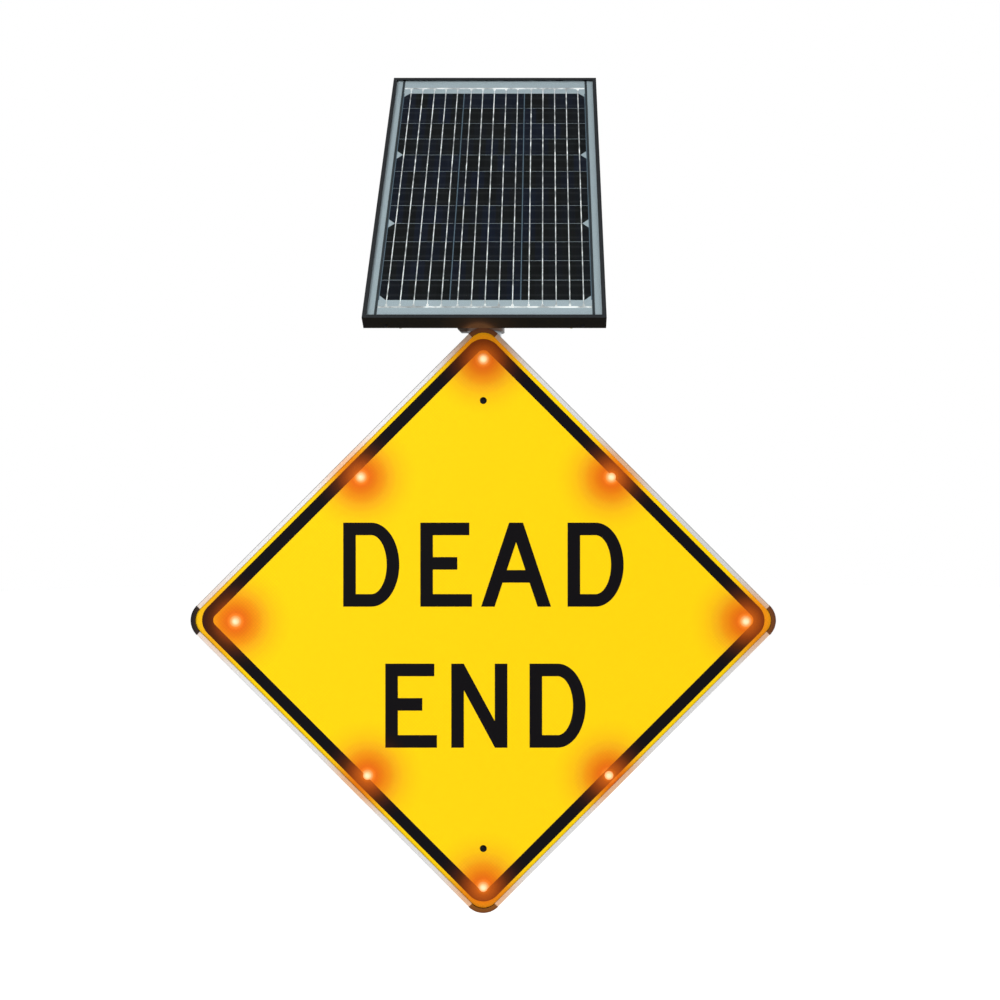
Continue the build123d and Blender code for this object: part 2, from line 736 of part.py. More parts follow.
def cabinet_case():
    """A folded case open at the back, with a rain hood, standoffs and the fixed knuckles."""
    half = CABINET_W / 2
    case = block(-half, half, CABINET_Y, CABINET_MOUTH, CABINET_Z, CABINET_TOP)
    case -= block(
        -half + CABINET_WALL,
        half - CABINET_WALL,
        CABINET_Y + CABINET_WALL,
        CABINET_MOUTH + 1,
        CABINET_Z + CABINET_WALL,
        CABINET_TOP - CABINET_WALL,
    )
    case += block(
        -half - HOOD_SIDE,
        half + HOOD_SIDE,
        CABINET_MOUTH - HOOD_REACH,
        CABINET_MOUTH + HOOD_REACH,
        CABINET_TOP,
        CABINET_TOP + HOOD_T,
    )
    inner = CABINET_Y + CABINET_WALL
    for x, z in standoff_places():
        case += along_y(rod(STANDOFF_R, 0, 0, -0.5, STANDOFF_H), x, inner, z)
        pilot = rod(PLATE_SCREW_R + THREAD_GAP, 0, 0, STANDOFF_H - PLATE_SCREW_DEPTH, STANDOFF_H + 1)
        case -= along_y(pilot, x, inner, z)
    for z in CABINET_BOLTS:
        case -= along_y(rod(BOLT_HOLE_R, 0, 0, -1, CABINET_WALL + 1), 0, CABINET_Y, z)
    for x, y in gland_places():
        case -= rod(GLAND_THREAD_R + BARREL_GAP, x, y, CABINET_Z - 1, CABINET_Z + CABINET_WALL + 1)
    for middle in hinge_centres():
        for side in (-1, 1):
            near = middle + side * (HINGE_MIDDLE / 2 + HINGE_GAP)
            far = middle + side * HINGE_LENGTH / 2
            barrel, bore = knuckle(min(near, far), max(near, far))
            leaf = block(
                -half - CABINET_WALL, -half, HINGE_Y - HINGE_LEAF, HINGE_Y, min(near, far), max(near, far)
            )
            case += leaf + barrel
            case -= bore
    return case


def cabinet_door():
    """A flat door with the middle knuckles on it and a hole for the latch."""
    half = CABINET_W / 2
    door = block(-half, half, DOOR_Y, DOOR_Y + DOOR_T, CABINET_Z + DOOR_MARGIN, CABINET_TOP - DOOR_MARGIN)
    outer = DOOR_Y + DOOR_T
    for middle in hinge_centres():
        low = middle - HINGE_MIDDLE / 2
        high = middle + HINGE_MIDDLE / 2
        barrel, bore = knuckle(low, high)
        strap = block(HINGE_X, HINGE_X + HINGE_LEAF, outer, outer + CABINET_WALL, low, high)
        door += strap + barrel
        door -= bore
    door -= along_y(rod(LATCH_R + BARREL_GAP, 0, 0, -1, DOOR_T + 1), LATCH_X, DOOR_Y, LATCH_Z)
    return door


def door_gasket():
    """A sponge rubber ring on the inside of the door."""
    half = CABINET_W / 2 - CABINET_WALL
    low = CABINET_Z + CABINET_WALL
    high = CABINET_TOP - CABINET_WALL
    ring = block(-half, half, DOOR_Y - GASKET_T, DOOR_Y, low, high)
    return ring - block(
        -half + GASKET_W,
        half - GASKET_W,
        DOOR_Y - GASKET_T - 1,
        DOOR_Y + 1,
        low + GASKET_W,
        high - GASKET_W,
    )


def hinge_pins():
    """Two headed pins."""
    pins = []
    for middle in hinge_centres():
        top = middle + HINGE_LENGTH / 2
        tail = middle - HINGE_LENGTH / 2 - PIN_TAIL
        pin = rod(HINGE_PIN_R, HINGE_X, HINGE_Y, tail, top + PIN_HEAD_H)
        pin += rod(PIN_HEAD_R, HINGE_X, HINGE_Y, top, top + PIN_HEAD_H)
        pins.append(pin)
    return Compound(children=pins)


def cam_latch():
    """A quarter turn latch, open with its cam upright and locked with it to the right."""
    outer = DOOR_Y + DOOR_T
    cam_back = CABINET_MOUTH - CABINET_WALL - CAM_GAP
    start = cam_back - CAM_T
    latch = along_y(rod(LATCH_R, 0, 0, 0, outer - start + 0.5), LATCH_X, start, LATCH_Z)
    head = rod(LATCH_HEAD_R, 0, 0, 0, LATCH_HEAD_T)
    slot = LATCH_SLOT / 2
    head -= block(-LATCH_HEAD_R, LATCH_HEAD_R, -slot, slot, LATCH_HEAD_T / 2, LATCH_HEAD_T + 1)
    latch += along_y(head, LATCH_X, outer, LATCH_Z)
    latch += block(LATCH_X - CAM_W / 2, LATCH_X + CAM_W / 2, start, cam_back, LATCH_Z, LATCH_Z + CAM_REACH)
    return latch


def cabinet_fixings():
    """The mounting plate with its screws, the cabinet's bolts and its cable glands."""
    half = CABINET_W / 2 - MOUNT_PLATE_INSET
    plate = block(
        -half,
        half,
        MOUNT_PLATE_Y,
        EQUIPMENT_Y,
        CABINET_Z + MOUNT_PLATE_INSET,
        CABINET_TOP - MOUNT_PLATE_INSET,
    )
    screw_head = cross_head(PLATE_SCREW_HEAD_R, PLATE_SCREW_HEAD_H)
    screw = bolt_bar(screw_head, PLATE_SCREW_R, MOUNT_PLATE_T + PLATE_SCREW_DEPTH - 0.5)
    screws = []
    for x, z in standoff_places():
        plate -= along_y(rod(PLATE_SCREW_R + BARREL_GAP, 0, 0, -1, MOUNT_PLATE_T + 1), x, MOUNT_PLATE_Y, z)
        screws.append(along_y(screw, x, EQUIPMENT_Y, z))
    head = hexagon(BOLT_HEX, 0, 0, 0, BOLT_HEX_HEAD_H)
    bolt = bolt_bar(head, BOLT_R, CABINET_WALL + BRACKET_T + BOLT_NUT_T + BOLT_PROUD)
    bolts = [along_y(bolt, 0, CABINET_Y + CABINET_WALL, z) for z in CABINET_BOLTS]
    nut_top = CABINET_WALL + GLAND_NUT_T
    dome_z = -GLAND_DROP + GLAND_DOME_H / 2
    gland = rod(GLAND_THREAD_R, 0, 0, 0, nut_top + GLAND_PROUD)
    gland += hexagon(GLAND_HEX, 0, 0, -GLAND_COLLAR_T, 0)
    gland += rod(GLAND_DOME_R, 0, 0, -GLAND_DROP + GLAND_DOME_H, -GLAND_COLLAR_T)
    gland += Pos(0, 0, dome_z) * Cone(GLAND_MOUTH_R, GLAND_DOME_R, GLAND_DOME_H)
    gland += hexagon(GLAND_HEX, 0, 0, CABINET_WALL, nut_top)
    gland -= rod(GLAND_BORE_R, 0, 0, -GLAND_DROP - 1, nut_top + GLAND_PROUD + 1)
    glands = [Pos(x, y, CABINET_Z) * gland for x, y in gland_places()]
    parts["mounting_plate"] = plate
    parts["plate_screws"] = Compound(children=screws)
    parts["cabinet_bolts"] = Compound(children=bolts)
    parts["cable_glands"] = Compound(children=glands)


def battery():
    """A sealed lead-acid battery with a lid and two tabs, standing on the cabinet's floor."""
    half = BATTERY_W / 2
    front = EQUIPMENT_Y + PLATE_SCREW_HEAD_H + FIT_GAP
    floor = CABINET_Z + CABINET_WALL
    shoulder = floor + BATTERY_H - BATTERY_LID_H
    top = floor + BATTERY_H - BATTERY_TAB
    case_x = half - BATTERY_STEP
    tab_y = front + BATTERY_TAB_BACK
    cell = block(-case_x, case_x, front + BATTERY_STEP, front + BATTERY_D - BATTERY_STEP, floor, shoulder)
    cell += block(-half, half, front, front + BATTERY_D, shoulder, top)
    for side in (-1, 1):
        x = side * (half - BATTERY_TAB_IN)
        reach = BATTERY_TAB_W / 2
        cell += block(x - reach, x + reach, tab_y, tab_y + BATTERY_TAB_T, top - 1, top + BATTERY_TAB)
    return cell


def charge_controller():
    """A moulded case with a raised display frame and a row of terminal mouths."""
    half = CONTROLLER_W / 2
    low = CABINET_Z + CONTROLLER_UP
    high = low + CONTROLLER_H
    face = EQUIPMENT_Y + CONTROLLER_D
    case = block(-half, half, EQUIPMENT_Y, face, low, high)
    proud = face + DISPLAY_PROUD
    frame_x = half / 2
    frame_low = low + CONTROLLER_H / 2
    frame_high = high - DISPLAY_IN
    case += block(-frame_x, frame_x, face, proud, frame_low, frame_high)
    case -= block(
        -frame_x + DISPLAY_FRAME,
        frame_x - DISPLAY_FRAME,
        proud - DISPLAY_DEPTH,
        proud + 1,
        frame_low + DISPLAY_FRAME,
        frame_high - DISPLAY_FRAME,
    )
    pitch = CONTROLLER_W / (CONTROLLER_MOUTHS + 1)
    back = face - MOUTH_IN
    for i in range(CONTROLLER_MOUTHS):
        x = (i - (CONTROLLER_MOUTHS - 1) / 2) * pitch
        reach = MOUTH_W / 2
        case -= block(x - reach, x + reach, back - MOUTH_T, back, low - 1, low + MOUTH_DEPTH)
    return case


def terminals():
    """A hat rail with a row of screw terminals clipped on it."""
    middle = CABINET_Z + RAIL_UP
    half = DIN_W / 2
    step = EQUIPMENT_Y + DIN_D
    base = DIN_BASE / 2
    reach = DIN_LENGTH / 2
    rail = block(-reach, reach, EQUIPMENT_Y, EQUIPMENT_Y + DIN_T, middle - base, middle + base)
    for side in (-1, 1):
        inner = middle + side * base
        web = sorted((inner, inner + side * DIN_T))
        lip = sorted((inner, middle + side * half))
        rail += block(-reach, reach, EQUIPMENT_Y, step, *web)
        rail += block(-reach, reach, step - DIN_T, step, *lip)
    row = []
    for i in range(TERMINAL_COUNT):
        x = (i - (TERMINAL_COUNT - 1) / 2) * TERMINAL_W
        clip = block(
            x - (TERMINAL_W - TERMINAL_GAP) / 2,
            x + (TERMINAL_W - TERMINAL_GAP) / 2,
            step,
            step + TERMINAL_D,
            middle - TERMINAL_H / 2,
            middle + TERMINAL_H / 2,
        )
        for side in (-1, 1):
            z = middle + side * (TERMINAL_H / 2 - TERMINAL_SCREW_IN)
            depth = TERMINAL_D - TERMINAL_SCREW_DEPTH
            clip -= along_y(rod(TERMINAL_SCREW_R, 0, 0, depth, TERMINAL_D + 1), x, step, z)
        row.append(clip)
    parts["din_rail"] = rail
    parts["terminal_block"] = Compound(children=row)


# ---- Swivelling head


def along_x(shape, x, y, z):
    """A shape built along Z, turned so that its top points along +X."""
    return Pos(x, y, z) * Rot(0, 90, 0) * shape


def cheek(x):
    """A side plate that rises from the sleeve to the tilt axis."""
    rise = PIVOT_Z - MAST_TOP - SLEEVE_GAP - SLEEVE_TOP_T / 2
    foot = MAST_R
    outline = Polygon(
        (-foot, -rise), (foot, -rise), (foot, -rise + 10), (CHEEK_R, 0), (-CHEEK_R, 0), (-foot, -rise + 10),
        align=None,
    )
    outline += Circle(CHEEK_R)
    outline -= Circle(TILT_BOLT_R + TILT_GAP)
    if x > 0:
        outline -= Pos(0, -SLOT_RADIUS) * Circle(BOLT_HOLE_R)
    side = Plane(origin=(x, 0, PIVOT_Z), x_dir=(0, 1, 0), z_dir=(1, 0, 0)).location
    return side * extrude(outline, CHEEK_T)


def swivel_sleeve():
    """A split sleeve, closed above, with a clamping lug on the left and the yoke welded on."""
    bore = MAST_R + SLEEVE_GAP
    outer = bore + SLEEVE_WALL
    seat = MAST_TOP + SLEEVE_GAP
    low = MAST_TOP - SLEEVE_LENGTH
    reach = outer + LUG_REACH
    lug = Polygon(
        (-reach + LUG_CHAMFER, low),
        (-MAST_R - SLEEVE_WALL / 2, low),
        (-MAST_R - SLEEVE_WALL / 2, MAST_TOP),
        (-reach + LUG_CHAMFER, MAST_TOP),
        (-reach, MAST_TOP - LUG_CHAMFER),
        (-reach, low + LUG_CHAMFER),
        align=None,
    )
    half = LUG_T + LUG_SLIT / 2
    sleeve = rod(outer, 0, 0, low, seat + SLEEVE_TOP_T)
    sleeve += Pos(0, half, 0) * extrude(Plane.XZ * lug, 2 * half)
    sleeve -= rod(bore, 0, 0, low - 1, seat)
    sleeve -= block(-reach - 1, -bore + 1, -LUG_SLIT / 2, LUG_SLIT / 2, low - 1, MAST_TOP)
    middle = (low + MAST_TOP) / 2
    sleeve -= along_y(rod(BOLT_HOLE_R, 0, 0, -half - 1, half + 1), -outer - LUG_REACH / 2, 0, middle)
    return sleeve + cheek(CHEEK_X) + cheek(-CHEEK_X - CHEEK_T)


def head_fixings():
    """The clamp bolt of the lug, the bolt in the slotted quadrant and the tilt bolt."""
    hex_head = hexagon(BOLT_HEX, 0, 0, 0, BOLT_HEX_HEAD_H)
    bolt = bolt_bar(hex_head, BOLT_R, HEAD_BOLT_LENGTH)
    nut = hexagon(BOLT_HEX, 0, 0, -BOLT_NUT_T, 0) - rod(BOLT_R + THREAD_GAP, 0, 0, -BOLT_NUT_T - 1, 1)
    half = LUG_T + LUG_SLIT / 2
    lug_x = -(MAST_R + SLEEVE_GAP + SLEEVE_WALL + LUG_REACH / 2)
    lug_z = MAST_TOP - SLEEVE_LENGTH / 2
    slot_z = PIVOT_Z - SLOT_RADIUS
    clamp = Pos(lug_x, -half, lug_z) * Rot(90, 0, 0)
    clamp_nut = Pos(lug_x, half, lug_z) * Rot(90, 0, 0)
    slot = Pos(CHEEK_X + CHEEK_T, 0, slot_z) * Rot(0, 90, 0)
    slot_nut = Pos(LEG_X, 0, slot_z) * Rot(0, 90, 0)
    parts["head_bolts"] = Compound(children=[clamp * bolt, slot * bolt])
    parts["head_nuts"] = Compound(children=[clamp_nut * nut, slot_nut * nut])
    side = CHEEK_X + CHEEK_T
    shank = 2 * side + TILT_NUT_T + BOLT_PROUD
    tilt = bolt_bar(hexagon(TILT_BOLT_HEX, 0, 0, 0, TILT_BOLT_HEAD_H), TILT_BOLT_R, shank)
    parts["tilt_bolt"] = Pos(-side, 0, PIVOT_Z) * Rot(0, -90, 0) * tilt
    tilt_nut = hexagon(TILT_BOLT_HEX, 0, 0, 0, TILT_NUT_T)
    tilt_nut -= rod(TILT_BOLT_R + THREAD_GAP, 0, 0, -1, TILT_NUT_T + 1)
    parts["tilt_nut"] = along_x(tilt_nut, side, 0, PIVOT_Z)


# ---- Solar panel, built flat with its lower edge on Y = 0 and its front on Z = 0


def frame_rail(length):
    """One mitred frame extrusion along X: a wall, a lip, a glazing shelf and a rear flange."""
    half = length / 2
    shelf = BACKSHEET_BACK
    rail = block(-half, half, 0, RAIL_WALL, -PANEL_D, 0)
    rail += block(-half, half, 0, RAIL_LIP, -RAIL_LIP_T, 0)
    rail += block(-half, half, 0, RAIL_LIP, shelf - RAIL_LIP_T, shelf)
    rail += block(-half, half, 0, RAIL_FLANGE, -PANEL_D, -PANEL_D + RAIL_LIP_T)
    mitre = Polygon(
        (-half, 0), (half, 0), (half - RAIL_FLANGE, RAIL_FLANGE), (-half + RAIL_FLANGE, RAIL_FLANGE), align=None
    )
    return rail & Pos(0, 0, -PANEL_D - 1) * extrude(mitre, PANEL_D + 2)


def key_screw_places():
    """The screws through the lower and upper rails into the corner keys, with +Z inwards."""
    x = PANEL_W / 2 - KEY_SCREW_IN
    return [
        Pos(side * x, y, -KEY_SCREW_BACK) * Rot(turn, 0, 0)
        for side in (-1, 1)
        for y, turn in ((0, -90), (PANEL_L, 90))
    ]


def key_screw_holes(radius, length):
    """A bar inwards from the outside of the rail at each key screw."""
    return [place * rod(radius, 0, 0, -1, length) for place in key_screw_places()]


def flange_holes():
    """The holes of every bolt behind the panel."""
    reach = 2 * PANEL_BOLT_LENGTH
    return [
        rod(PANEL_BOLT_R + BARREL_GAP, x, y, -reach, -PANEL_D + RAIL_LIP_T + 1)
        for x, y, front, back in PANEL_BOLT_PLACES
    ]


def panel_frame():
    """Four rails, the keys inside their corners and the keys' screws."""
    places = {
        "panel_rail_bottom": (Pos(0, 0, 0), PANEL_W),
        "panel_rail_top": (Pos(0, PANEL_L, 0) * Rot(0, 0, 180), PANEL_W),
        "panel_rail_left": (Pos(-PANEL_W / 2, PANEL_L / 2, 0) * Rot(0, 0, -90), PANEL_L),
        "panel_rail_right": (Pos(PANEL_W / 2, PANEL_L / 2, 0) * Rot(0, 0, 90), PANEL_L),
    }
    for name, (place, length) in places.items():
        rail = place * frame_rail(length)
        if length == PANEL_W:
            rail -= key_screw_holes(KEY_SCREW_R + KEY_GAP, RAIL_WALL + 1)
            rail -= flange_holes()
        parts[name] = PANEL * rail
    near = RAIL_WALL + KEY_GAP
    low = -PANEL_D + RAIL_LIP_T + KEY_GAP
    high = BACKSHEET_BACK - RAIL_LIP_T - KEY_GAP
    keys = []
    for x in (-1, 1):
        for top in (False, True):
            leg_x = sorted((x * (PANEL_W / 2 - near), x * (PANEL_W / 2 - KEY_LEG)))
            arm_x = sorted((x * (PANEL_W / 2 - near), x * (PANEL_W / 2 - near - KEY_W)))
            leg_y = (PANEL_L - near - KEY_W, PANEL_L - near) if top else (near, near + KEY_W)
            arm_y = (PANEL_L - KEY_LEG, PANEL_L - near) if top else (near, KEY_LEG)
            key = block(*leg_x, *leg_y, low, high) + block(*arm_x, *arm_y, low, high)
            keys.append(PANEL * (key - key_screw_holes(KEY_SCREW_R + THREAD_GAP, KEY_LEG)))
    parts["corner_keys"] = Compound(children=keys)
    head = cross_head(KEY_SCREW_HEAD_R, KEY_SCREW_HEAD_H)
    screw = Rot(180, 0, 0) * bolt_bar(head, KEY_SCREW_R, KEY_SCREW_LENGTH)
    parts["key_screws"] = Compound(children=[PANEL * place * screw for place in key_screw_places()])


def laminate(z0, z1):
    """A sheet that fills the frame's glazing slot."""
    half = PANEL_W / 2 - LAMINATE_INSET
    return PANEL * block(-half, half, LAMINATE_INSET, PANEL_L - LAMINATE_INSET, z0, z1)


def solar_cells():
    """Strips cut four to a wafer, so the outer corners of each wafer are chamfered."""
    cell_w = COLUMN_PITCH - COLUMN_GAP
    cell_h = ROW_PITCH - ROW_GAP
    cells = []
    for column in range(COLUMNS):
        for row in range(ROW_COUNT):
            cell = Rectangle(cell_w, cell_h)
            place = row % ROWS_PER_WAFER
            side = (column == COLUMNS - 1) - (column == 0)
            end = (place == ROWS_PER_WAFER - 1) - (place == 0)
            if side and end:
                corner = Pos(side * cell_w / 2, end * cell_h / 2) * Rot(0, 0, 45)
                cell -= corner * Rectangle(CELL_CHAMFER * sqrt(2), CELL_CHAMFER * sqrt(2))
            x = (column - (COLUMNS - 1) / 2) * COLUMN_PITCH
            y = CELLS_UP + (row + 0.5) * ROW_PITCH
            cells.append(PANEL * Pos(x, y, BACKSHEET_FRONT) * extrude(cell, CELL_T))
    return Compound(children=cells)


def cell_ribbons():
    """Tinned ribbons over the cells, with wider soldered feet on two collectors."""
    low = CELLS_UP - COLLECTOR_OUT
    high = CELLS_TOP + COLLECTOR_OUT
    length = high - low
    strip = Rectangle(RIBBON_W, length)
    strip += [Pos(0, side * (length - FOOT_L) / 2) * Rectangle(FOOT_W, FOOT_L) for side in (-1, 1)]
    ribbons = []
    for column in range(COLUMNS):
        for i in range(RIBBONS):
            x = (column - (COLUMNS - 1) / 2) * COLUMN_PITCH + (i - (RIBBONS - 1) / 2) * RIBBON_PITCH
            ribbons.append(PANEL * Pos(x, (low + high) / 2, CELL_FRONT) * extrude(strip, RIBBON_T))
    for y0, y1 in ((low - COLLECTOR_W, low), (high, high + COLLECTOR_W)):
        ribbons.append(PANEL * block(-CELLS_W / 2, CELLS_W / 2, y0, y1, CELL_FRONT, GLASS_BACK))
    return Compound(children=ribbons)


def edge_seals():
    """Dark sealing strips under the glass, beside the cells."""
    strips = []
    for side in (-1, 1):
        near = side * (CELLS_W / 2 + SEAL_GAP)
        far = side * (CELLS_W / 2 + SEAL_GAP + SEAL_W)
        strip = block(
            min(near, far), max(near, far), LAMINATE_INSET, PANEL_L - LAMINATE_INSET, CELL_FRONT, GLASS_BACK
        )
        strips.append(PANEL * strip)
    return Compound(children=strips)


def junction_box():
    """A flat box on the backsheet, with a lid that overhangs it and a cable gland below."""
    half = JUNCTION_W / 2
    low = JUNCTION_UP - JUNCTION_H / 2
    high = JUNCTION_UP + JUNCTION_H / 2
    back = BACKSHEET_BACK - JUNCTION_D
    box = block(-half, half, low, high, back, BACKSHEET_BACK)
    box += block(-half - 1.5, half + 1.5, low - 1.5, high + 1.5, back - JUNCTION_LID_T, back)
    gland = rod(JUNCTION_GLAND_R, 0, 0, 0, 14) + hexagon(2 * JUNCTION_GLAND_R + 2, 0, 0, 3, 8)
    gland -= rod(GLAND_BORE_R, 0, 0, 2, 15)
    box += Pos(0, low, (back + BACKSHEET_BACK) / 2) * Rot(90, 0, 0) * gland
    return PANEL * box


def panel_back():
    """Two square tubes and the bolts that clamp them to the frame and the cross channel."""
    tubes = []
    for side in (-1, 1):
        x = side * TUBE_X
        half = TUBE_W / 2
        tube = block(x - half, x + half, TUBE_INSET, PANEL_L - TUBE_INSET, TUBE_BACK, -PANEL_D)
        tube -= block(
            x - half + TUBE_T,
            x + half - TUBE_T,
            0,
            PANEL_L,
            TUBE_BACK + TUBE_T,
            -PANEL_D - TUBE_T,
        )
        tubes.append(PANEL * (tube - flange_holes()))
    parts["rear_tubes"] = Compound(children=tubes)
    head = hexagon(PANEL_BOLT_HEX, 0, 0, 0, PANEL_BOLT_HEAD_H)
    bolt = bolt_bar(head, PANEL_BOLT_R, PANEL_BOLT_LENGTH)
    nut = hexagon(PANEL_BOLT_HEX, 0, 0, -PANEL_NUT_T, 0)
    nut -= rod(PANEL_BOLT_R + THREAD_GAP, 0, 0, -PANEL_NUT_T - 1, 1)
    bolts = [PANEL * Pos(x, y, front) * bolt for x, y, front, back in PANEL_BOLT_PLACES]
    nuts = [PANEL * Pos(x, y, back) * nut for x, y, front, back in PANEL_BOLT_PLACES]
    parts["panel_bolts"] = Compound(children=bolts)
    parts["panel_nuts"] = Compound(children=nuts)


def sector(radius, start, end):
    """A flat wedge of a circle between two angles in degrees, under half a turn."""
    far = 2 * radius
    middle = radians((start + end) / 2)
    corners = [(0, 0)]
    for angle in (radians(start), middle, radians(end)):
        corners.append((far * cos(angle), far * sin(angle)))
    return Polygon(*corners, align=None) & Circle(radius)


def tilt_leg(x, slotted):
    """A leg from the cross channel to the tilt axis; one of them carries the slotted quadrant."""
    web = PIVOT_BACK + TUBE_BACK - CROSS_T
    leg = Polygon((-LEG_R, 0), (LEG_R, 0), (LEG_FOOT, web), (-LEG_FOOT, web), align=None)
    leg += Circle(LEG_R)
    if slotted:
        rest = 180 + PANEL_TILT
        start = rest - TILT_UP - SLOT_SPARE
        end = rest + TILT_DOWN + SLOT_SPARE
        leg += sector(QUADRANT_R, start - SLOT_SPARE - 4, end + SLOT_SPARE + 4)
        half = BOLT_R + SLOT_GAP
        slot = sector(SLOT_RADIUS + half, start, end) - Circle(SLOT_RADIUS - half)
        for angle in (radians(start), radians(end)):
            slot += Pos(SLOT_RADIUS * cos(angle), SLOT_RADIUS * sin(angle)) * Circle(half)
        leg -= slot
    leg -= Circle(TILT_BOLT_R + TILT_GAP)
    side = Plane(origin=(x, PIVOT_UP, -PIVOT_BACK), x_dir=(0, 1, 0), z_dir=(1, 0, 0)).location
    return side * extrude(leg, LEG_T)


def tilt_bracket():
    """A cross channel bolted to both tubes, with two legs welded to it over the mast."""
    half = CROSS_H / 2
    front = TUBE_BACK
    low = PIVOT_UP - half
    high = PIVOT_UP + half
    channel = block(-CROSS_HALF_W, CROSS_HALF_W, low, high, front - CROSS_D, front)
    channel -= block(
        -CROSS_HALF_W - 1,
        CROSS_HALF_W + 1,
        low + CROSS_T,
        high - CROSS_T,
        front - CROSS_D - 1,
        front - CROSS_T,
    )
    channel -= flange_holes()
    centre = -PANEL_X
    channel += tilt_leg(centre + LEG_X, True)
    channel += tilt_leg(centre - LEG_X - LEG_T, False)
    return PANEL * channel


os.makedirs("parts", exist_ok=True)

sign_sheets()
parts["border_film"] = border_film()
parts["legend_film"] = legend_film()
for name, turn in (("left_upper", 0), ("left_lower", 90), ("right_lower", 180), ("right_upper", 270)):
    parts["edge_" + name] = edge_extrusion(turn)
for name, turn in (("top", 0), ("left", 90), ("bottom", 180), ("right", 270)):
    parts["corner_cap_" + name] = corner_cap(turn)
lamps()
sign_bolts()
parts["mast"] = mast()
brackets()
parts["cabinet_case"] = cabinet_case()
parts["cabinet_rim"] = cabinet_rim()
parts["cabinet_door"] = cabinet_door()
parts["door_gasket"] = door_gasket()
parts["hinge_pins"] = hinge_pins()
parts["cam_latch"] = cam_latch()
cabinet_fixings()
parts["battery"] = battery()
parts["charge_controller"] = charge_controller()
terminals()
parts["swivel_sleeve"] = swivel_sleeve()
head_fixings()
panel_frame()
parts["panel_glass"] = laminate(GLASS_BACK, -RAIL_LIP_T)
parts["backsheet"] = laminate(BACKSHEET_BACK, BACKSHEET_FRONT)
parts["solar_cells"] = solar_cells()
parts["cell_ribbons"] = cell_ribbons()
parts["edge_seals"] = edge_seals()
parts["junction_box"] = junction_box()
panel_back()
parts["tilt_bracket"] = tilt_bracket()

for name, shape in parts.items():
    export_step(shape, "parts/" + name + ".step")
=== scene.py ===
from math import radians, tau

import bpy
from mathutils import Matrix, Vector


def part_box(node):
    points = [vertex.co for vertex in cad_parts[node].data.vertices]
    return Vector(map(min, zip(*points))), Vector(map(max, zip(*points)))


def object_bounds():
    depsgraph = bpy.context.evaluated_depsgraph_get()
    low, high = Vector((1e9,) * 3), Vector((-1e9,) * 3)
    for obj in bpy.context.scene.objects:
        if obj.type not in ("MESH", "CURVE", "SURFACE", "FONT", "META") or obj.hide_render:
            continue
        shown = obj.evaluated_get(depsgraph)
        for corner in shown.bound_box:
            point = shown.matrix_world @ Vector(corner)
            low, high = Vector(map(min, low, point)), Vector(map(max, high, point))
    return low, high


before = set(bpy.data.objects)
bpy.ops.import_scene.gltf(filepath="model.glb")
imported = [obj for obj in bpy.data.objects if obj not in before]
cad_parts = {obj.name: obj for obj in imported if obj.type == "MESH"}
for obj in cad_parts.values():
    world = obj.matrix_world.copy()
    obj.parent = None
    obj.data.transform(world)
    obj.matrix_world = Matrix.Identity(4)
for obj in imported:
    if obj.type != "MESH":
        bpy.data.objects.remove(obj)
cad_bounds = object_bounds()


# Mast: a cut length of 60 mm steel water tube, dipped in molten zinc after
# cutting. The zinc freezes in dull grey crystals about 12 mm across, and the
# cut lower end is left open so that it slips over a spigot.

def linear(colour):
    """Turns an sRGB hex colour into the linear one that the shaders mix."""
    parts = [int(colour[i:i + 2], 16) / 255 for i in (1, 3, 5)]
    parts = [p / 12.92 if p <= 0.04045 else ((p + 0.055) / 1.055) ** 2.4 for p in parts]
    return (*parts, 1.0)


def add(tree, kind, feeds=None, stops=None, **settings):
    """Adds one node with its settings, and feeds its inputs from sockets or plain values.

    The colours of a Mix node go by number: inputs 6 and 7, output 2.
    """
    node = tree.nodes.new(kind)
    for name, value in settings.items():
        setattr(node, name, value)
    for socket, value in (feeds or {}).items():
        if isinstance(value, bpy.types.NodeSocket):
            tree.links.new(value, node.inputs[socket])
        else:
            node.inputs[socket].default_value = value
    if stops:
        while len(node.color_ramp.elements) < len(stops):
            node.color_ramp.elements.new(1.0)
        for element, (position, colour) in zip(node.color_ramp.elements, stops):
            element.position = position
            element.color = linear(colour)
    return node


def coat(name, *pieces):
    """Makes a material, puts it on CAD pieces, and returns its tree, shader and place."""
    material = bpy.data.materials.new(name)
    material.use_nodes = True
    for piece in pieces:
        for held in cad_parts[piece].material_slots:
            held.material = material
    tree = material.node_tree
    place = add(tree, "ShaderNodeTexCoord").outputs["Object"]
    return tree, tree.nodes["Principled BSDF"], place


def per_metre(millimetres):
    """The texture scale whose features are this far apart."""
    return 1000.0 / millimetres


SPANGLE = 12.0  # mm across one zinc crystal
ZINC_BLOOM = 6.4  # mm across a cloud of the dull oxide bloom
BLOOM_LIFT = 0.12  # how much the bloom lightens the darkest crystals


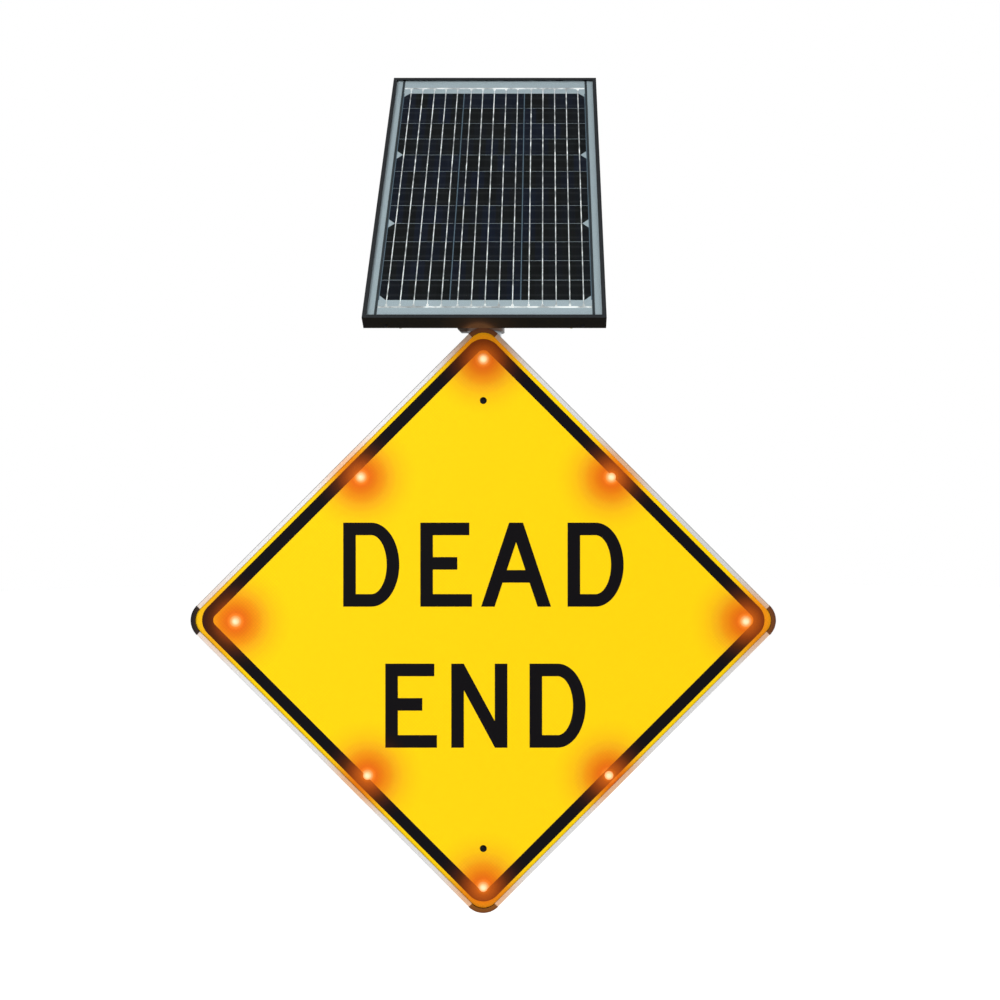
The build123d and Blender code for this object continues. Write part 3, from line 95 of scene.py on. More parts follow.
def galvanise(name, spangle, dark, light, *pieces):
    """Hot-dip zinc: flat crystals, each a slightly different grey and gloss."""
    tree, shader, place = coat(name, *pieces)
    crystals = add(tree, "ShaderNodeTexVoronoi", {"Vector": place, "Scale": per_metre(spangle)})
    tone = add(tree, "ShaderNodeSeparateColor", {0: crystals.outputs["Color"]})
    bloom = add(
        tree, "ShaderNodeTexNoise",
        {"Vector": place, "Scale": per_metre(ZINC_BLOOM), "Detail": 5.0},
    )
    mixed = add(
        tree, "ShaderNodeMath", {0: tone.outputs[0], 1: bloom.outputs["Fac"], 2: BLOOM_LIFT},
        operation="MULTIPLY_ADD",
    )
    grey = add(
        tree, "ShaderNodeValToRGB", {"Fac": mixed.outputs[0]},
        stops=[(0.0, dark), (1.0, light)],
    )
    gloss = add(
        tree, "ShaderNodeMapRange",
        {"Value": mixed.outputs[0], "To Min": 0.36, "To Max": 0.58},
    )
    relief = add(
        tree, "ShaderNodeBump",
        {"Height": mixed.outputs[0], "Strength": 0.25, "Distance": 0.0002},
    )
    shader.inputs["Metallic"].default_value = 0.85
    tree.links.new(grey.outputs["Color"], shader.inputs["Base Color"])
    tree.links.new(gloss.outputs["Result"], shader.inputs["Roughness"])
    tree.links.new(relief.outputs["Normal"], shader.inputs["Normal"])


# Hot-dip galvanised tube: a dull light grey with a faint patchwork of crystals.
galvanise("hot-dip galvanised tube", SPANGLE, "#8C9296", "#C3C8CA", "mast")


# Brackets behind the sign and the cabinet: folded 4 mm steel straps, punched
# and then galvanised. Small parts cool fast, so their crystals are finer.
BRACKET_SPANGLE = 5.0  # mm
galvanise(
    "galvanised folded strap", BRACKET_SPANGLE, "#858B8F", "#B9BEC1",
    "sign_brackets", "cabinet_brackets",
)


# Fixings: U-bolts, nuts, screws, spacers and hinge pins, cold headed and turned
# from steel wire, then electroplated with zinc and passivated blue.
PLATE_STREAK = 2.4  # mm between drawing marks, drawn coarser than the real 0.6 mm
FIXINGS = (
    "u_bolts", "bracket_nuts", "bolt_spacers", "rear_screws", "plate_screws", "cabinet_bolts",
    "hinge_pins", "panel_bolts", "panel_nuts",
)
# Bright zinc plate: cool silver with a bluish cast, finely streaked, smoother than dipped zinc.
tree, shader, place = coat("bright zinc plate", *FIXINGS)
streaks = add(
    tree, "ShaderNodeTexNoise",
    {"Vector": place, "Scale": per_metre(PLATE_STREAK), "Detail": 4.0, "Distortion": 0.6},
)
silver = add(
    tree, "ShaderNodeValToRGB", {"Fac": streaks.outputs["Fac"]},
    stops=[(0.3, "#A9B0B8"), (0.7, "#CDD2D6")],
)
sheen = add(
    tree, "ShaderNodeMapRange", {"Value": streaks.outputs["Fac"], "To Min": 0.2, "To Max": 0.42}
)
shader.inputs["Metallic"].default_value = 1.0
tree.links.new(silver.outputs["Color"], shader.inputs["Base Color"])
tree.links.new(sheen.outputs["Result"], shader.inputs["Roughness"])


# Sign box plates: the face and the rear cover, both sheared from 2 mm
# aluminium sheet. Rolling leaves fine lines along the sheet, and the rear
# cover keeps that mill finish in the open air.
ROLL_LINE = 1.2  # mm between rolling lines, drawn coarser than the real 0.2 mm
ROLL_STRETCH = 40.0  # times longer than wide
WEATHER_CLOUD = 120.0  # mm across a patch that the weather has dulled
tree, shader, place = coat("mill finish aluminium sheet", "face_plate", "rear_plate")
rolled = add(
    tree, "ShaderNodeMapping", {"Vector": place, "Scale": (1.0, 1.0, 1.0 / ROLL_STRETCH)}
)
lines = add(
    tree, "ShaderNodeTexNoise",
    {"Vector": rolled.outputs[0], "Scale": per_metre(ROLL_LINE), "Detail": 3.0},
)
clouds = add(
    tree, "ShaderNodeTexNoise",
    {"Vector": place, "Scale": per_metre(WEATHER_CLOUD), "Detail": 4.0},
)
weather = add(
    tree, "ShaderNodeMath", {0: lines.outputs["Fac"], 1: clouds.outputs["Fac"]},
    operation="MULTIPLY",
)
grey = add(
    tree, "ShaderNodeValToRGB", {"Fac": weather.outputs[0]},
    stops=[(0.1, "#AEB2B5"), (0.45, "#CBCED0")],
)
dulled = add(
    tree, "ShaderNodeMapRange",
    {"Value": weather.outputs[0], "From Max": 0.5, "To Min": 0.5, "To Max": 0.32},
)
scored = add(
    tree, "ShaderNodeBump", {"Height": lines.outputs["Fac"], "Strength": 0.15, "Distance": 0.0001}
)
shader.inputs["Metallic"].default_value = 1.0
tree.links.new(grey.outputs["Color"], shader.inputs["Base Color"])
tree.links.new(dulled.outputs["Result"], shader.inputs["Roughness"])
tree.links.new(scored.outputs["Normal"], shader.inputs["Normal"])


# Edge strips: four extruded aluminium channels that close the sides of the
# sign box. They are satin anodised, and near a lamp its amber light is painted
# into their colour.
LAMPS = (  # mm right of and above the middle of the face
    (0.0, 478.0), (234.5, 262.0), (480.5, -2.0), (230.0, -284.0),
    (0.0, -489.0), (-212.0, -284.0), (-453.5, -2.0), (-224.0, 262.0),
)
sign_low, sign_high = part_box("face_sheeting")
sign_middle = (sign_low + sign_high) / 2
GLOW_REACH = 105.0  # mm from a lamp to where its painted glow no longer shows
UNLIT = -0.1  # forward part of the normal of a face that gets none of the painted glow, negative is forward
FULLY_LIT = -0.6  # the same where it takes all of it


def lamp_distance(tree, place):
    """How far a point is from the nearest lamp as the face shows them, 1 at the end of its glow."""
    flat = add(tree, "ShaderNodeMapping", {"Vector": place, "Scale": (1.0, 0.0, 1.0)}).outputs[0]
    nearest = None
    for x, z in LAMPS:
        lamp = (sign_middle.x + x / 1000, 0.0, sign_middle.z + z / 1000)
        gap = add(
            tree, "ShaderNodeVectorMath", {0: flat, 1: lamp}, operation="DISTANCE"
        ).outputs["Value"]
        if nearest is not None:
            gap = add(tree, "ShaderNodeMath", {0: nearest, 1: gap}, operation="MINIMUM").outputs[0]
        nearest = gap
    return add(
        tree, "ShaderNodeMath", {0: nearest, 1: GLOW_REACH / 1000}, operation="DIVIDE"
    ).outputs[0]


def glow(tree, place, *stops):
    """The colour of a piece's front by its distance in mm from the nearest lamp, with the lamps' light
    painted in.
    """
    lit = add(
        tree, "ShaderNodeValToRGB", {"Fac": lamp_distance(tree, place)},
        stops=[(distance / GLOW_REACH, colour) for distance, colour in stops],
    )
    normal = add(tree, "ShaderNodeTexCoord").outputs["Normal"]
    toward = add(tree, "ShaderNodeSeparateXYZ", {0: normal})
    front = add(
        tree, "ShaderNodeMapRange",
        {"Value": toward.outputs["Y"], "From Min": UNLIT, "From Max": FULLY_LIT},
    )
    return add(
        tree, "ShaderNodeMix",
        {"Factor": front.outputs["Result"], 6: linear(stops[-1][1]), 7: lit.outputs["Color"]},
        data_type="RGBA",
    ).outputs[2]


# Satin anodised aluminium: almost white, with the fine grain of the etch before anodising.
ETCH_GRAIN = 1.5  # mm, drawn coarser than the real 0.3 mm
tree, shader, place = coat(
    "satin anodised aluminium",
    "edge_left_upper", "edge_left_lower", "edge_right_lower", "edge_right_upper",
)
etched = add(
    tree, "ShaderNodeTexNoise", {"Vector": place, "Scale": per_metre(ETCH_GRAIN), "Detail": 2.0}
)
# Painted lamp light: amber near a lamp, the strips' own near-white away from it.
strip_colour_with_painted_glow = glow(
    tree, place,
    (40, "#E4B692"), (50, "#E3C1A8"), (62, "#E1CCBD"), (80, "#DFD8D3"), (103, "#DEDDDD"),
)
satin = add(
    tree, "ShaderNodeMix",
    {"Factor": etched.outputs["Fac"], 6: strip_colour_with_painted_glow, 7: linear("#D9D8D6")},
    data_type="RGBA", blend_type="MULTIPLY",
)
worn = add(
    tree, "ShaderNodeMapRange", {"Value": etched.outputs["Fac"], "To Min": 0.4, "To Max": 0.52}
)
shader.inputs["Metallic"].default_value = 0.9
tree.links.new(satin.outputs[2], shader.inputs["Base Color"])
tree.links.new(worn.outputs["Result"], shader.inputs["Roughness"])


# Corner caps: four injection moulded nylon covers over the mitred ends of the
# strips, black and finely spark eroded. The light of the lamp beside each is
# painted on them as amber and brown.
SPARK = 0.9  # mm, the texture of the mould
tree, shader, place = coat(
    "spark textured black nylon",
    "corner_cap_top", "corner_cap_left", "corner_cap_bottom", "corner_cap_right",
)
# Painted lamp light: amber and brown near a lamp, the caps' own black away from it.
shade = glow(
    tree, place,
    (30, "#A06210"), (44, "#84490F"), (54, "#6A3A1E"), (66, "#442A1A"), (78, "#17110E"),
    (92, "#0E0D0D"),
)
texture = add(
    tree, "ShaderNodeTexNoise", {"Vector": place, "Scale": per_metre(SPARK), "Detail": 4.0}
)
mottled = add(
    tree, "ShaderNodeMix", {"Factor": texture.outputs["Fac"], 6: shade, 7: linear("#B8B2AE")},
    data_type="RGBA", blend_type="MULTIPLY",
)
pitted = add(
    tree, "ShaderNodeBump",
    {"Height": texture.outputs["Fac"], "Strength": 0.35, "Distance": 0.0002},
)
shader.inputs["IOR"].default_value = 1.53
shader.inputs["Roughness"].default_value = 0.55
shader.inputs["Specular IOR Level"].default_value = 0.15
tree.links.new(mottled.outputs[2], shader.inputs["Base Color"])
tree.links.new(pitted.outputs["Normal"], shader.inputs["Normal"])


# Face sheeting: yellow microprismatic film, rolled on to the whole face. Its
# cells are sealed in a lattice of fine lines under a glossy top film. Around
# each lamp its amber light is painted into the film, passing into the yellow.
SEAL_LINE = 5.0  # mm between the seal lines, drawn coarser than the real 3 mm
tree, shader, place = coat("yellow microprismatic sheeting", "face_sheeting")
# The film's yellow, with the lamps' amber light painted in near each lamp.
yellow = glow(
    tree, place,
    (6, "#FCD08A"), (11, "#FA8523"), (16.5, "#E96D08"), (22, "#E77406"), (27.5, "#E97C04"),
    (33, "#EC8906"), (38.5, "#EF9108"), (44, "#F19B0A"), (49.5, "#F3A80D"), (55, "#F6B010"),
    (60.5, "#F7B70A"), (66, "#FAC108"), (71.5, "#FCC306"), (77, "#FDC804"), (88, "#FECE02"),
    (103, "#FFD300"),
)
turned = add(
    tree, "ShaderNodeMapping",
    {"Vector": place, "Rotation": (radians(90), 0.0, radians(45))},
)
lattice = add(
    tree, "ShaderNodeTexBrick",
    {
        "Vector": turned.outputs[0], "Scale": per_metre(SEAL_LINE), "Mortar Size": 0.09,
        "Mortar Smooth": 0.6, "Brick Width": 1.0, "Row Height": 1.0,
        "Color1": linear("#FFFFFF"), "Color2": linear("#FCFCFC"), "Mortar": linear("#F5F5F5"),
    },
    offset=0.0,
)
sealed = add(
    tree, "ShaderNodeMix", {"Factor": 1.0, 6: yellow, 7: lattice.outputs["Color"]},
    data_type="RGBA", blend_type="MULTIPLY",
)
ribbed = add(
    tree, "ShaderNodeBump", {"Height": lattice.outputs["Fac"], "Strength": 0.1, "Distance": 0.0001}
)
ribbed.invert = True
shader.inputs["IOR"].default_value = 1.5
shader.inputs["Roughness"].default_value = 0.42
shader.inputs["Specular IOR Level"].default_value = 0.08
tree.links.new(sealed.outputs[2], shader.inputs["Base Color"])
tree.links.new(ribbed.outputs["Normal"], shader.inputs["Normal"])


# Border and legend: black cast vinyl film, knife cut and rolled down over the
# sheeting. Satin, with a faint stipple from the application roller. Near a
# lamp its light is painted into the black as orange and brown.
STIPPLE = 2.0  # mm between the dimples
tree, shader, place = coat("satin black vinyl film", "border_film", "legend_film")
# Painted lamp light: orange and brown near a lamp, the film's own black away from it.
black = glow(
    tree, place,
    (7, "#EC7413"), (14, "#C85C10"), (30, "#943F09"), (45, "#5C2806"), (50, "#502103"),
    (56, "#421B0C"), (66, "#2A120A"), (78, "#190B08"), (90, "#0D080D"), (104, "#0B080C"),
)
stipple = add(
    tree, "ShaderNodeTexNoise", {"Vector": place, "Scale": per_metre(STIPPLE), "Detail": 3.0}
)
varied = add(
    tree, "ShaderNodeMix", {"Factor": stipple.outputs["Fac"], 6: black, 7: linear("#D6D6D6")},
    data_type="RGBA", blend_type="MULTIPLY",
)
dimpled = add(
    tree, "ShaderNodeBump",
    {"Height": stipple.outputs["Fac"], "Strength": 0.12, "Distance": 0.0001},
)
shader.inputs["IOR"].default_value = 1.46
shader.inputs["Roughness"].default_value = 0.5
shader.inputs["Specular IOR Level"].default_value = 0.07
tree.links.new(varied.outputs[2], shader.inputs["Base Color"])
tree.links.new(dimpled.outputs["Normal"], shader.inputs["Normal"])


# Lamps: eight lit amber light-emitting diodes. Each has a clear amber
# polycarbonate lens with a flange, a black nylon nut behind the face and a
# small circuit board. The lit chip makes the middle of the dome cream.
LENS_REACH = 9.0  # mm from the middle of the lens to past its flange
tree, shader, place = coat("lit amber polycarbonate lens", "lamp_lenses")
radius = add(
    tree, "ShaderNodeMath",
    {0: lamp_distance(tree, place), 1: GLOW_REACH / LENS_REACH}, operation="MULTIPLY",
)
lit = add(
    tree, "ShaderNodeValToRGB", {"Fac": radius.outputs[0]},
    stops=[
        (0.0, "#FFF4CE"), (0.35, "#FFEEBC"), (0.62, "#FDD296"), (0.85, "#FBA05A"), (1.0, "#F8802C"),
    ],
)
shader.inputs["Base Color"].default_value = linear("#A85A1E")
shader.inputs["IOR"].default_value = 1.585
shader.inputs["Roughness"].default_value = 0.15
shader.inputs["Emission Strength"].default_value = 0.85
tree.links.new(lit.outputs["Color"], shader.inputs["Emission Color"])

MOULD_GRAIN = 1.0  # mm between the specks of a moulded skin
GLOSS_SPREAD = 0.08  # how far the roughness strays to either side


def mould(name, colour, worn, roughness, ior, *pieces):
    """A moulded plastic: one colour, with a fine grain that varies its tone and gloss."""
    tree, shader, place = coat(name, *pieces)
    grain = add(
        tree, "ShaderNodeTexNoise", {"Vector": place, "Scale": per_metre(MOULD_GRAIN), "Detail": 5.0}
    )
    tone = add(
        tree, "ShaderNodeValToRGB", {"Fac": grain.outputs["Fac"]},
        stops=[(0.25, colour), (0.75, worn)],
    )
    gloss = add(
        tree, "ShaderNodeMapRange",
        {
            "Value": grain.outputs["Fac"],
            "To Min": roughness - GLOSS_SPREAD, "To Max": roughness + GLOSS_SPREAD,
        },
    )
    skin = add(
        tree, "ShaderNodeBump",
        {"Height": grain.outputs["Fac"], "Strength": 0.2, "Distance": 0.0001},
    )
    shader.inputs["IOR"].default_value = ior
    tree.links.new(tone.outputs["Color"], shader.inputs["Base Color"])
    tree.links.new(gloss.outputs["Result"], shader.inputs["Roughness"])
    tree.links.new(skin.outputs["Normal"], shader.inputs["Normal"])


# Black nylon nuts: dark and slightly waxy.
mould("black nylon lamp nut", "#1B1B1C", "#262627", 0.45, 1.53, "lamp_nuts")
# Solder-masked glass epoxy: glossy dark green.
mould("green solder-masked circuit board", "#0E3A24", "#164B30", 0.3, 1.55, "lamp_boards")


# Black bolts: the two button headed socket bolts through the face, the bolts of
# the swivel head and the panel's key screws, all hot blackened in oil.
BLACKING = 1.5  # mm, the cloudiness of the oxide
tree, shader, place = coat(
    "hot blackened steel",
    "sign_bolts", "key_screws", "head_bolts", "head_nuts", "tilt_bolt", "tilt_nut",
)
cloud = add(
    tree, "ShaderNodeTexNoise", {"Vector": place, "Scale": per_metre(BLACKING), "Detail": 4.0}
)
oxide = add(
    tree, "ShaderNodeValToRGB", {"Fac": cloud.outputs["Fac"]},
    stops=[(0.3, "#0E0E10"), (0.75, "#1D1D1F")],
)
oily = add(
    tree, "ShaderNodeMapRange", {"Value": cloud.outputs["Fac"], "To Min": 0.25, "To Max": 0.45}
)
shader.inputs["Metallic"].default_value = 0.8
shader.inputs["Specular IOR Level"].default_value = 0.2
tree.links.new(oxide.outputs["Color"], shader.inputs["Base Color"])
tree.links.new(oily.outputs["Result"], shader.inputs["Roughness"])


# Battery cabinet: a folded steel case, its welded rim and its door, powder
# coated in light grey. The baked powder flows out in a faint orange peel.
PEEL = 3.0  # mm between the dimples
DUST_PATCH = 60.0  # mm across a patch of settled dust
tree, shader, place = coat(
    "light grey powder coat", "cabinet_case", "cabinet_rim", "cabinet_door"
)
peel = add(tree, "ShaderNodeTexNoise", {"Vector": place, "Scale": per_metre(PEEL), "Detail": 2.0})
dust_and_painted_highlight = add(
    tree, "ShaderNodeTexNoise", {"Vector": place, "Scale": per_metre(DUST_PATCH), "Detail": 6.0}
)
grey = add(
    tree, "ShaderNodeValToRGB", {"Fac": dust_and_painted_highlight.outputs["Fac"]},
    stops=[(0.3, "#C0C2C0"), (0.7, "#C9CBC9")],
)
dimple = add(
    tree, "ShaderNodeBump", {"Height": peel.outputs["Fac"], "Strength": 0.3, "Distance": 0.0002}
)
flow = add(
    tree, "ShaderNodeMapRange", {"Value": dust_and_painted_highlight.outputs["Fac"], "To Min": 0.32, "To Max": 0.48}
)
shader.inputs["IOR"].default_value = 1.52
tree.links.new(grey.outputs["Color"], shader.inputs["Base Color"])
tree.links.new(flow.outputs["Result"], shader.inputs["Roughness"])
tree.links.new(dimple.outputs["Normal"], shader.inputs["Normal"])


# Inside the cabinet: a zinc plated mounting plate and rail, a sealed lead
# battery in an ABS case, a charge controller and a terminal block.
SATIN_STREAK = 1.0  # mm across a streak of the plating
STREAK_STRETCH = 20.0  # times longer than wide
tree, shader, place = coat("satin zinc plated sheet", "mounting_plate", "din_rail")
along = add(
    tree, "ShaderNodeMapping", {"Vector": place, "Scale": (1.0, 1.0, 1.0 / STREAK_STRETCH)}
)
brush = add(
    tree, "ShaderNodeTexNoise",
    {"Vector": along.outputs[0], "Scale": per_metre(SATIN_STREAK), "Detail": 3.0},
)
silver = add(
    tree, "ShaderNodeValToRGB", {"Fac": brush.outputs["Fac"]},
    stops=[(0.3, "#A4A9AD"), (0.7, "#C9CDD0")],
)
shader.inputs["Metallic"].default_value = 1.0
shader.inputs["Roughness"].default_value = 0.4
tree.links.new(silver.outputs["Color"], shader.inputs["Base Color"])


EASED_EDGE = 0.0015  # m, the radius of a moulded edge
SHARP = 50  # degrees, the least turn of an edge that is eased
SAME_CORNER = 0.00001  # m between corners that are one


def ease(*pieces):
    """Rounds the sharp edges of moulded pieces."""
    for piece in pieces:
        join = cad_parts[piece].modifiers.new("joined faces", "WELD")
        join.merge_threshold = SAME_CORNER
        soft_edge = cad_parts[piece].modifiers.new("eased edges", "BEVEL")
        soft_edge.width = EASED_EDGE
        soft_edge.segments = 2
        soft_edge.limit_method = "ANGLE"
        soft_edge.angle_limit = radians(SHARP)


ease("battery", "charge_controller")
# Grained ABS: a dark grey battery case.
mould("grained grey abs", "#33363A", "#3D4045", 0.5, 1.54, "battery")
# Blue-black polycarbonate: the controller's smoother case.
mould("moulded polycarbonate case", "#1E2B3C", "#273649", 0.35, 1.585, "charge_controller")
# Grey polyamide: the terminal block.
mould("grey polyamide terminal", "#6B6E6C", "#7B7E7B", 0.5, 1.53, "terminal_block")
# Black nylon glands under the case, where the leads leave it.
mould("black nylon gland", "#1D1D1E", "#29292A", 0.45, 1.53, "cable_glands")
# Sponge rubber: a matt black gasket on the rim, glued to the door.
mould("black sponge rubber", "#161616", "#202020", 0.85, 1.5, "door_gasket")


# Latch: a quarter turn cam lock, die cast in zinc and chromed. It turns in a
# hole of the door, with its head outside and its cam inside.
CHROME_HAZE = 6.0  # mm across a cloud of haze
tree, shader, place = coat("chromed zinc die casting", "cam_latch")
haze = add(
    tree, "ShaderNodeTexNoise", {"Vector": place, "Scale": per_metre(CHROME_HAZE), "Detail": 3.0}
)
bright = add(
    tree, "ShaderNodeMapRange", {"Value": haze.outputs["Fac"], "To Min": 0.05, "To Max": 0.22}
)
shader.inputs["Metallic"].default_value = 1.0
shader.inputs["Base Color"].default_value = linear("#D8DADB")
tree.links.new(bright.outputs["Result"], shader.inputs["Roughness"])


# Swivel head: a fabricated sleeve that clamps round the top of the mast, and
# the tilting bracket above it, both welded from steel and powder coated black.
HEAD_PEEL = 2.5  # mm between the dimples of the coat
tree, shader, place = coat("satin black powder coat", "swivel_sleeve", "tilt_bracket")
peel = add(
    tree, "ShaderNodeTexNoise", {"Vector": place, "Scale": per_metre(HEAD_PEEL), "Detail": 3.0}
)
# Painted lamp light: the glow of the nearby lamps is painted into the black as brown.
lit_black = glow(
    tree, place,
    (46, "#8A5A38"), (62, "#6B4429"), (78, "#46301F"), (92, "#2C2622"), (104, "#232324"),
)
chalked = add(
    tree, "ShaderNodeMix", {"Factor": peel.outputs["Fac"], 6: lit_black, 7: linear("#C9C9C9")},
    data_type="RGBA", blend_type="MULTIPLY",
)
dimple = add(
    tree, "ShaderNodeBump", {"Height": peel.outputs["Fac"], "Strength": 0.3, "Distance": 0.0002}
)
shader.inputs["IOR"].default_value = 1.52
shader.inputs["Roughness"].default_value = 0.42
tree.links.new(chalked.outputs[2], shader.inputs["Base Color"])
tree.links.new(dimple.outputs["Normal"], shader.inputs["Normal"])


# Panel frame: four black anodised aluminium rails, mitred and joined by keys
# hidden in their corners. Satin and finely mottled. A painted highlight lightens
# the faces that look up, and the lamps' glow is painted on the fronts near them.
RAIL_MOTTLE = 2.0  # mm, drawn coarser than the real 0.3 mm
TOP_HIGHLIGHT_SHARE = 0.85  # share of an upward face's colour that the painted highlight takes over
NO_HIGHLIGHT_UP, FULL_HIGHLIGHT_UP = 0.3, 0.6  # upward part of the normal where no painted highlight lies, and where all of it does
tree, shader, place = coat(
    "black anodised aluminium",
    "panel_rail_bottom", "panel_rail_top", "panel_rail_left", "panel_rail_right",
)
marks = add(
    tree, "ShaderNodeTexNoise", {"Vector": place, "Scale": per_metre(RAIL_MOTTLE), "Detail": 3.0}
)
# Painted lamp light: the glow of the lamps below is painted on the rails' fronts as brown.
lit_rail = glow(
    tree, place,
    (43, "#5E3E28"), (45.5, "#482F1F"), (47.5, "#38241A"), (50, "#2C1D16"), (56, "#201713"),
    (80, "#121011"), (104, "#0E0E0F"),
)
normal = add(tree, "ShaderNodeTexCoord").outputs["Normal"]
upward = add(tree, "ShaderNodeSeparateXYZ", {0: normal})
# Painted highlight: faces that look up are lightened toward grey, as if lit from above.
dust_and_painted_highlight = add(
    tree, "ShaderNodeMapRange",
    {"Value": upward.outputs["Z"], "From Min": NO_HIGHLIGHT_UP, "From Max": FULL_HIGHLIGHT_UP, "To Max": TOP_HIGHLIGHT_SHARE},
)
painted_top_highlight = add(
    tree, "ShaderNodeMix", {"Factor": dust_and_painted_highlight.outputs["Result"], 6: lit_rail, 7: linear("#4C4F52")},
    data_type="RGBA",
)
anodised = add(
    tree, "ShaderNodeMix",
    {"Factor": marks.outputs["Fac"], 6: painted_top_highlight.outputs[2], 7: linear("#C4C4C4")},
    data_type="RGBA", blend_type="MULTIPLY",
)
satin = add(
    tree, "ShaderNodeMapRange", {"Value": marks.outputs["Fac"], "To Min": 0.38, "To Max": 0.5}
)
shader.inputs["Metallic"].default_value = 0.3
shader.inputs["Specular IOR Level"].default_value = 0.06
tree.links.new(anodised.outputs[2], shader.inputs["Base Color"])
tree.links.new(satin.outputs["Result"], shader.inputs["Roughness"])

# Extruded aluminium left as drawn, bright with die lines: the corner keys and
# the two tubes that carry the panel.
TUBE_LINE = 1.0  # mm across a die line, drawn coarser than the real 0.3 mm
TUBE_STRETCH = 50.0  # times longer than wide
TUBE_SLOPE = 36.7  # degrees that the tubes lean back from upright
tree, shader, place = coat("drawn aluminium", "corner_keys", "rear_tubes")
leant = add(
    tree, "ShaderNodeMapping",
    {"Vector": place, "Rotation": (radians(TUBE_SLOPE), 0.0, 0.0)},
)
along = add(
    tree, "ShaderNodeMapping",
    {"Vector": leant.outputs[0], "Scale": (1.0, 1.0, 1.0 / TUBE_STRETCH)},
)
drawn = add(
    tree, "ShaderNodeTexNoise",
    {"Vector": along.outputs[0], "Scale": per_metre(TUBE_LINE), "Detail": 2.0},
)
silver = add(
    tree, "ShaderNodeValToRGB", {"Fac": drawn.outputs["Fac"]},
    stops=[(0.3, "#B2B6B9"), (0.7, "#C6CACC")],
)
shader.inputs["Metallic"].default_value = 1.0
shader.inputs["Roughness"].default_value = 0.42
tree.links.new(silver.outputs["Color"], shader.inputs["Base Color"])


# Solar glass: 3.2 mm low-iron tempered glass over the cells. Clear, with a
# soft sheen from its stippled outer face, stronger at a slant.
FACE_ON_GLARE = 0.025  # share of the light thrown back by each face of coated glass
SLANT_GLARE = 0.5  # the same at a grazing slant, where the coating halves it
GLARE_POWER = 5.0  # power of the slant by which the glare grows
tree, shader, place = coat("low-iron solar glass", "panel_glass")
clear = add(tree, "ShaderNodeBsdfTransparent", {"Color": linear("#FBFDFC")})
gloss = add(tree, "ShaderNodeBsdfGlossy", {"Color": linear("#FFFFFF"), "Roughness": 0.12})
slant = add(tree, "ShaderNodeLayerWeight", {"Blend": 0.5}).outputs["Facing"]
steep = add(tree, "ShaderNodeMath", {0: slant, 1: GLARE_POWER}, operation="POWER").outputs[0]
mirrored = add(
    tree, "ShaderNodeMapRange", {"Value": steep, "To Min": FACE_ON_GLARE, "To Max": SLANT_GLARE}
)
through = add(
    tree, "ShaderNodeMixShader",
    {0: mirrored.outputs["Result"], 1: clear.outputs[0], 2: gloss.outputs[0]},
)
tree.links.new(through.outputs[0], tree.nodes["Material Output"].inputs["Surface"])


# Solar cells: 36 wafers of single crystal silicon under a dark coating. The
# stretches of wafer between ribbons each take their own cast, from black to
# deep blue, and hair-fine silver fingers catch the light across them.
FINGER_BAND = 20.1  # mm between bands, drawn coarser than the real fingers every 1.6 mm
WAVE_TURN = 20.0  # radians by which the wave pattern turns over one unit
FINGER_TONE = 0.05  # how strongly the fingers lighten a cell
RIBBONS = 15  # across the panel
CELL_ROWS = 12  # up the panel
cells_low, cells_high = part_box("solar_cells")
tree, shader, place = coat("coated single crystal silicon", "solar_cells")
spot = add(tree, "ShaderNodeSeparateXYZ", {0: place})
column = add(
    tree, "ShaderNodeMapRange",
    {"Value": spot.outputs["X"], "From Min": cells_low.x, "From Max": cells_high.x, "To Max": RIBBONS},
)
row = add(
    tree, "ShaderNodeMapRange",
    {"Value": spot.outputs["Z"], "From Min": cells_low.z, "From Max": cells_high.z, "To Max": CELL_ROWS},
)
grid = add(
    tree, "ShaderNodeCombineXYZ", {0: column.outputs["Result"], 1: row.outputs["Result"]}
)
stretch = add(tree, "ShaderNodeVectorMath", {0: grid.outputs[0]}, operation="FLOOR")
chance = add(tree, "ShaderNodeTexWhiteNoise", {"Vector": stretch.outputs[0]})
cast = add(
    tree, "ShaderNodeValToRGB", {"Fac": chance.outputs["Value"]},
    stops=[
        (0.0, "#0B0B0D"), (0.35, "#131313"), (0.6, "#0F111A"), (0.85, "#0D1428"), (1.0, "#151A2A"),
    ],
)
fingers = add(
    tree, "ShaderNodeTexWave",
    {"Vector": place, "Scale": per_metre(FINGER_BAND) * tau / WAVE_TURN},
    bands_direction="Z",
)
fine = add(
    tree, "ShaderNodeMapRange",
    {"Value": fingers.outputs["Fac"], "From Min": 0.8, "From Max": 1.0, "To Max": FINGER_TONE},
)
printed = add(
    tree, "ShaderNodeMix",
    {"Factor": fine.outputs["Result"], 6: cast.outputs["Color"], 7: linear("#8E9498")},
    data_type="RGBA",
)
shader.inputs["IOR"].default_value = 1.5
shader.inputs["Roughness"].default_value = 0.35
shader.inputs["Specular IOR Level"].default_value = 0.3
tree.links.new(printed.outputs[2], shader.inputs["Base Color"])


# Ribbons: flat copper wire dipped in tin, soldered along each column of cells
# and to the collectors past its ends. The tin is unevenly bright, and its
# brighter stretches carry a painted glint, a faint glow in place of reflections.
SOLDER = 18.0  # mm between brighter stretches
GLINT = 0.36  # strength of the painted glint, a glow on the mirror-like stretches, which soft light alone leaves dull
tree, shader, place = coat("tinned copper ribbon", "cell_ribbons")
tin = add(
    tree, "ShaderNodeTexNoise", {"Vector": place, "Scale": per_metre(SOLDER), "Detail": 5.0}
)
# Tone of the tin: partly its own uneven tone, partly painted highlight, brightest where the painted
# glint lies.
bright = add(
    tree, "ShaderNodeValToRGB", {"Fac": tin.outputs["Fac"]},
    stops=[(0.32, "#B9BABD"), (0.5, "#EEEFF1"), (0.68, "#FFFFFF")],
)
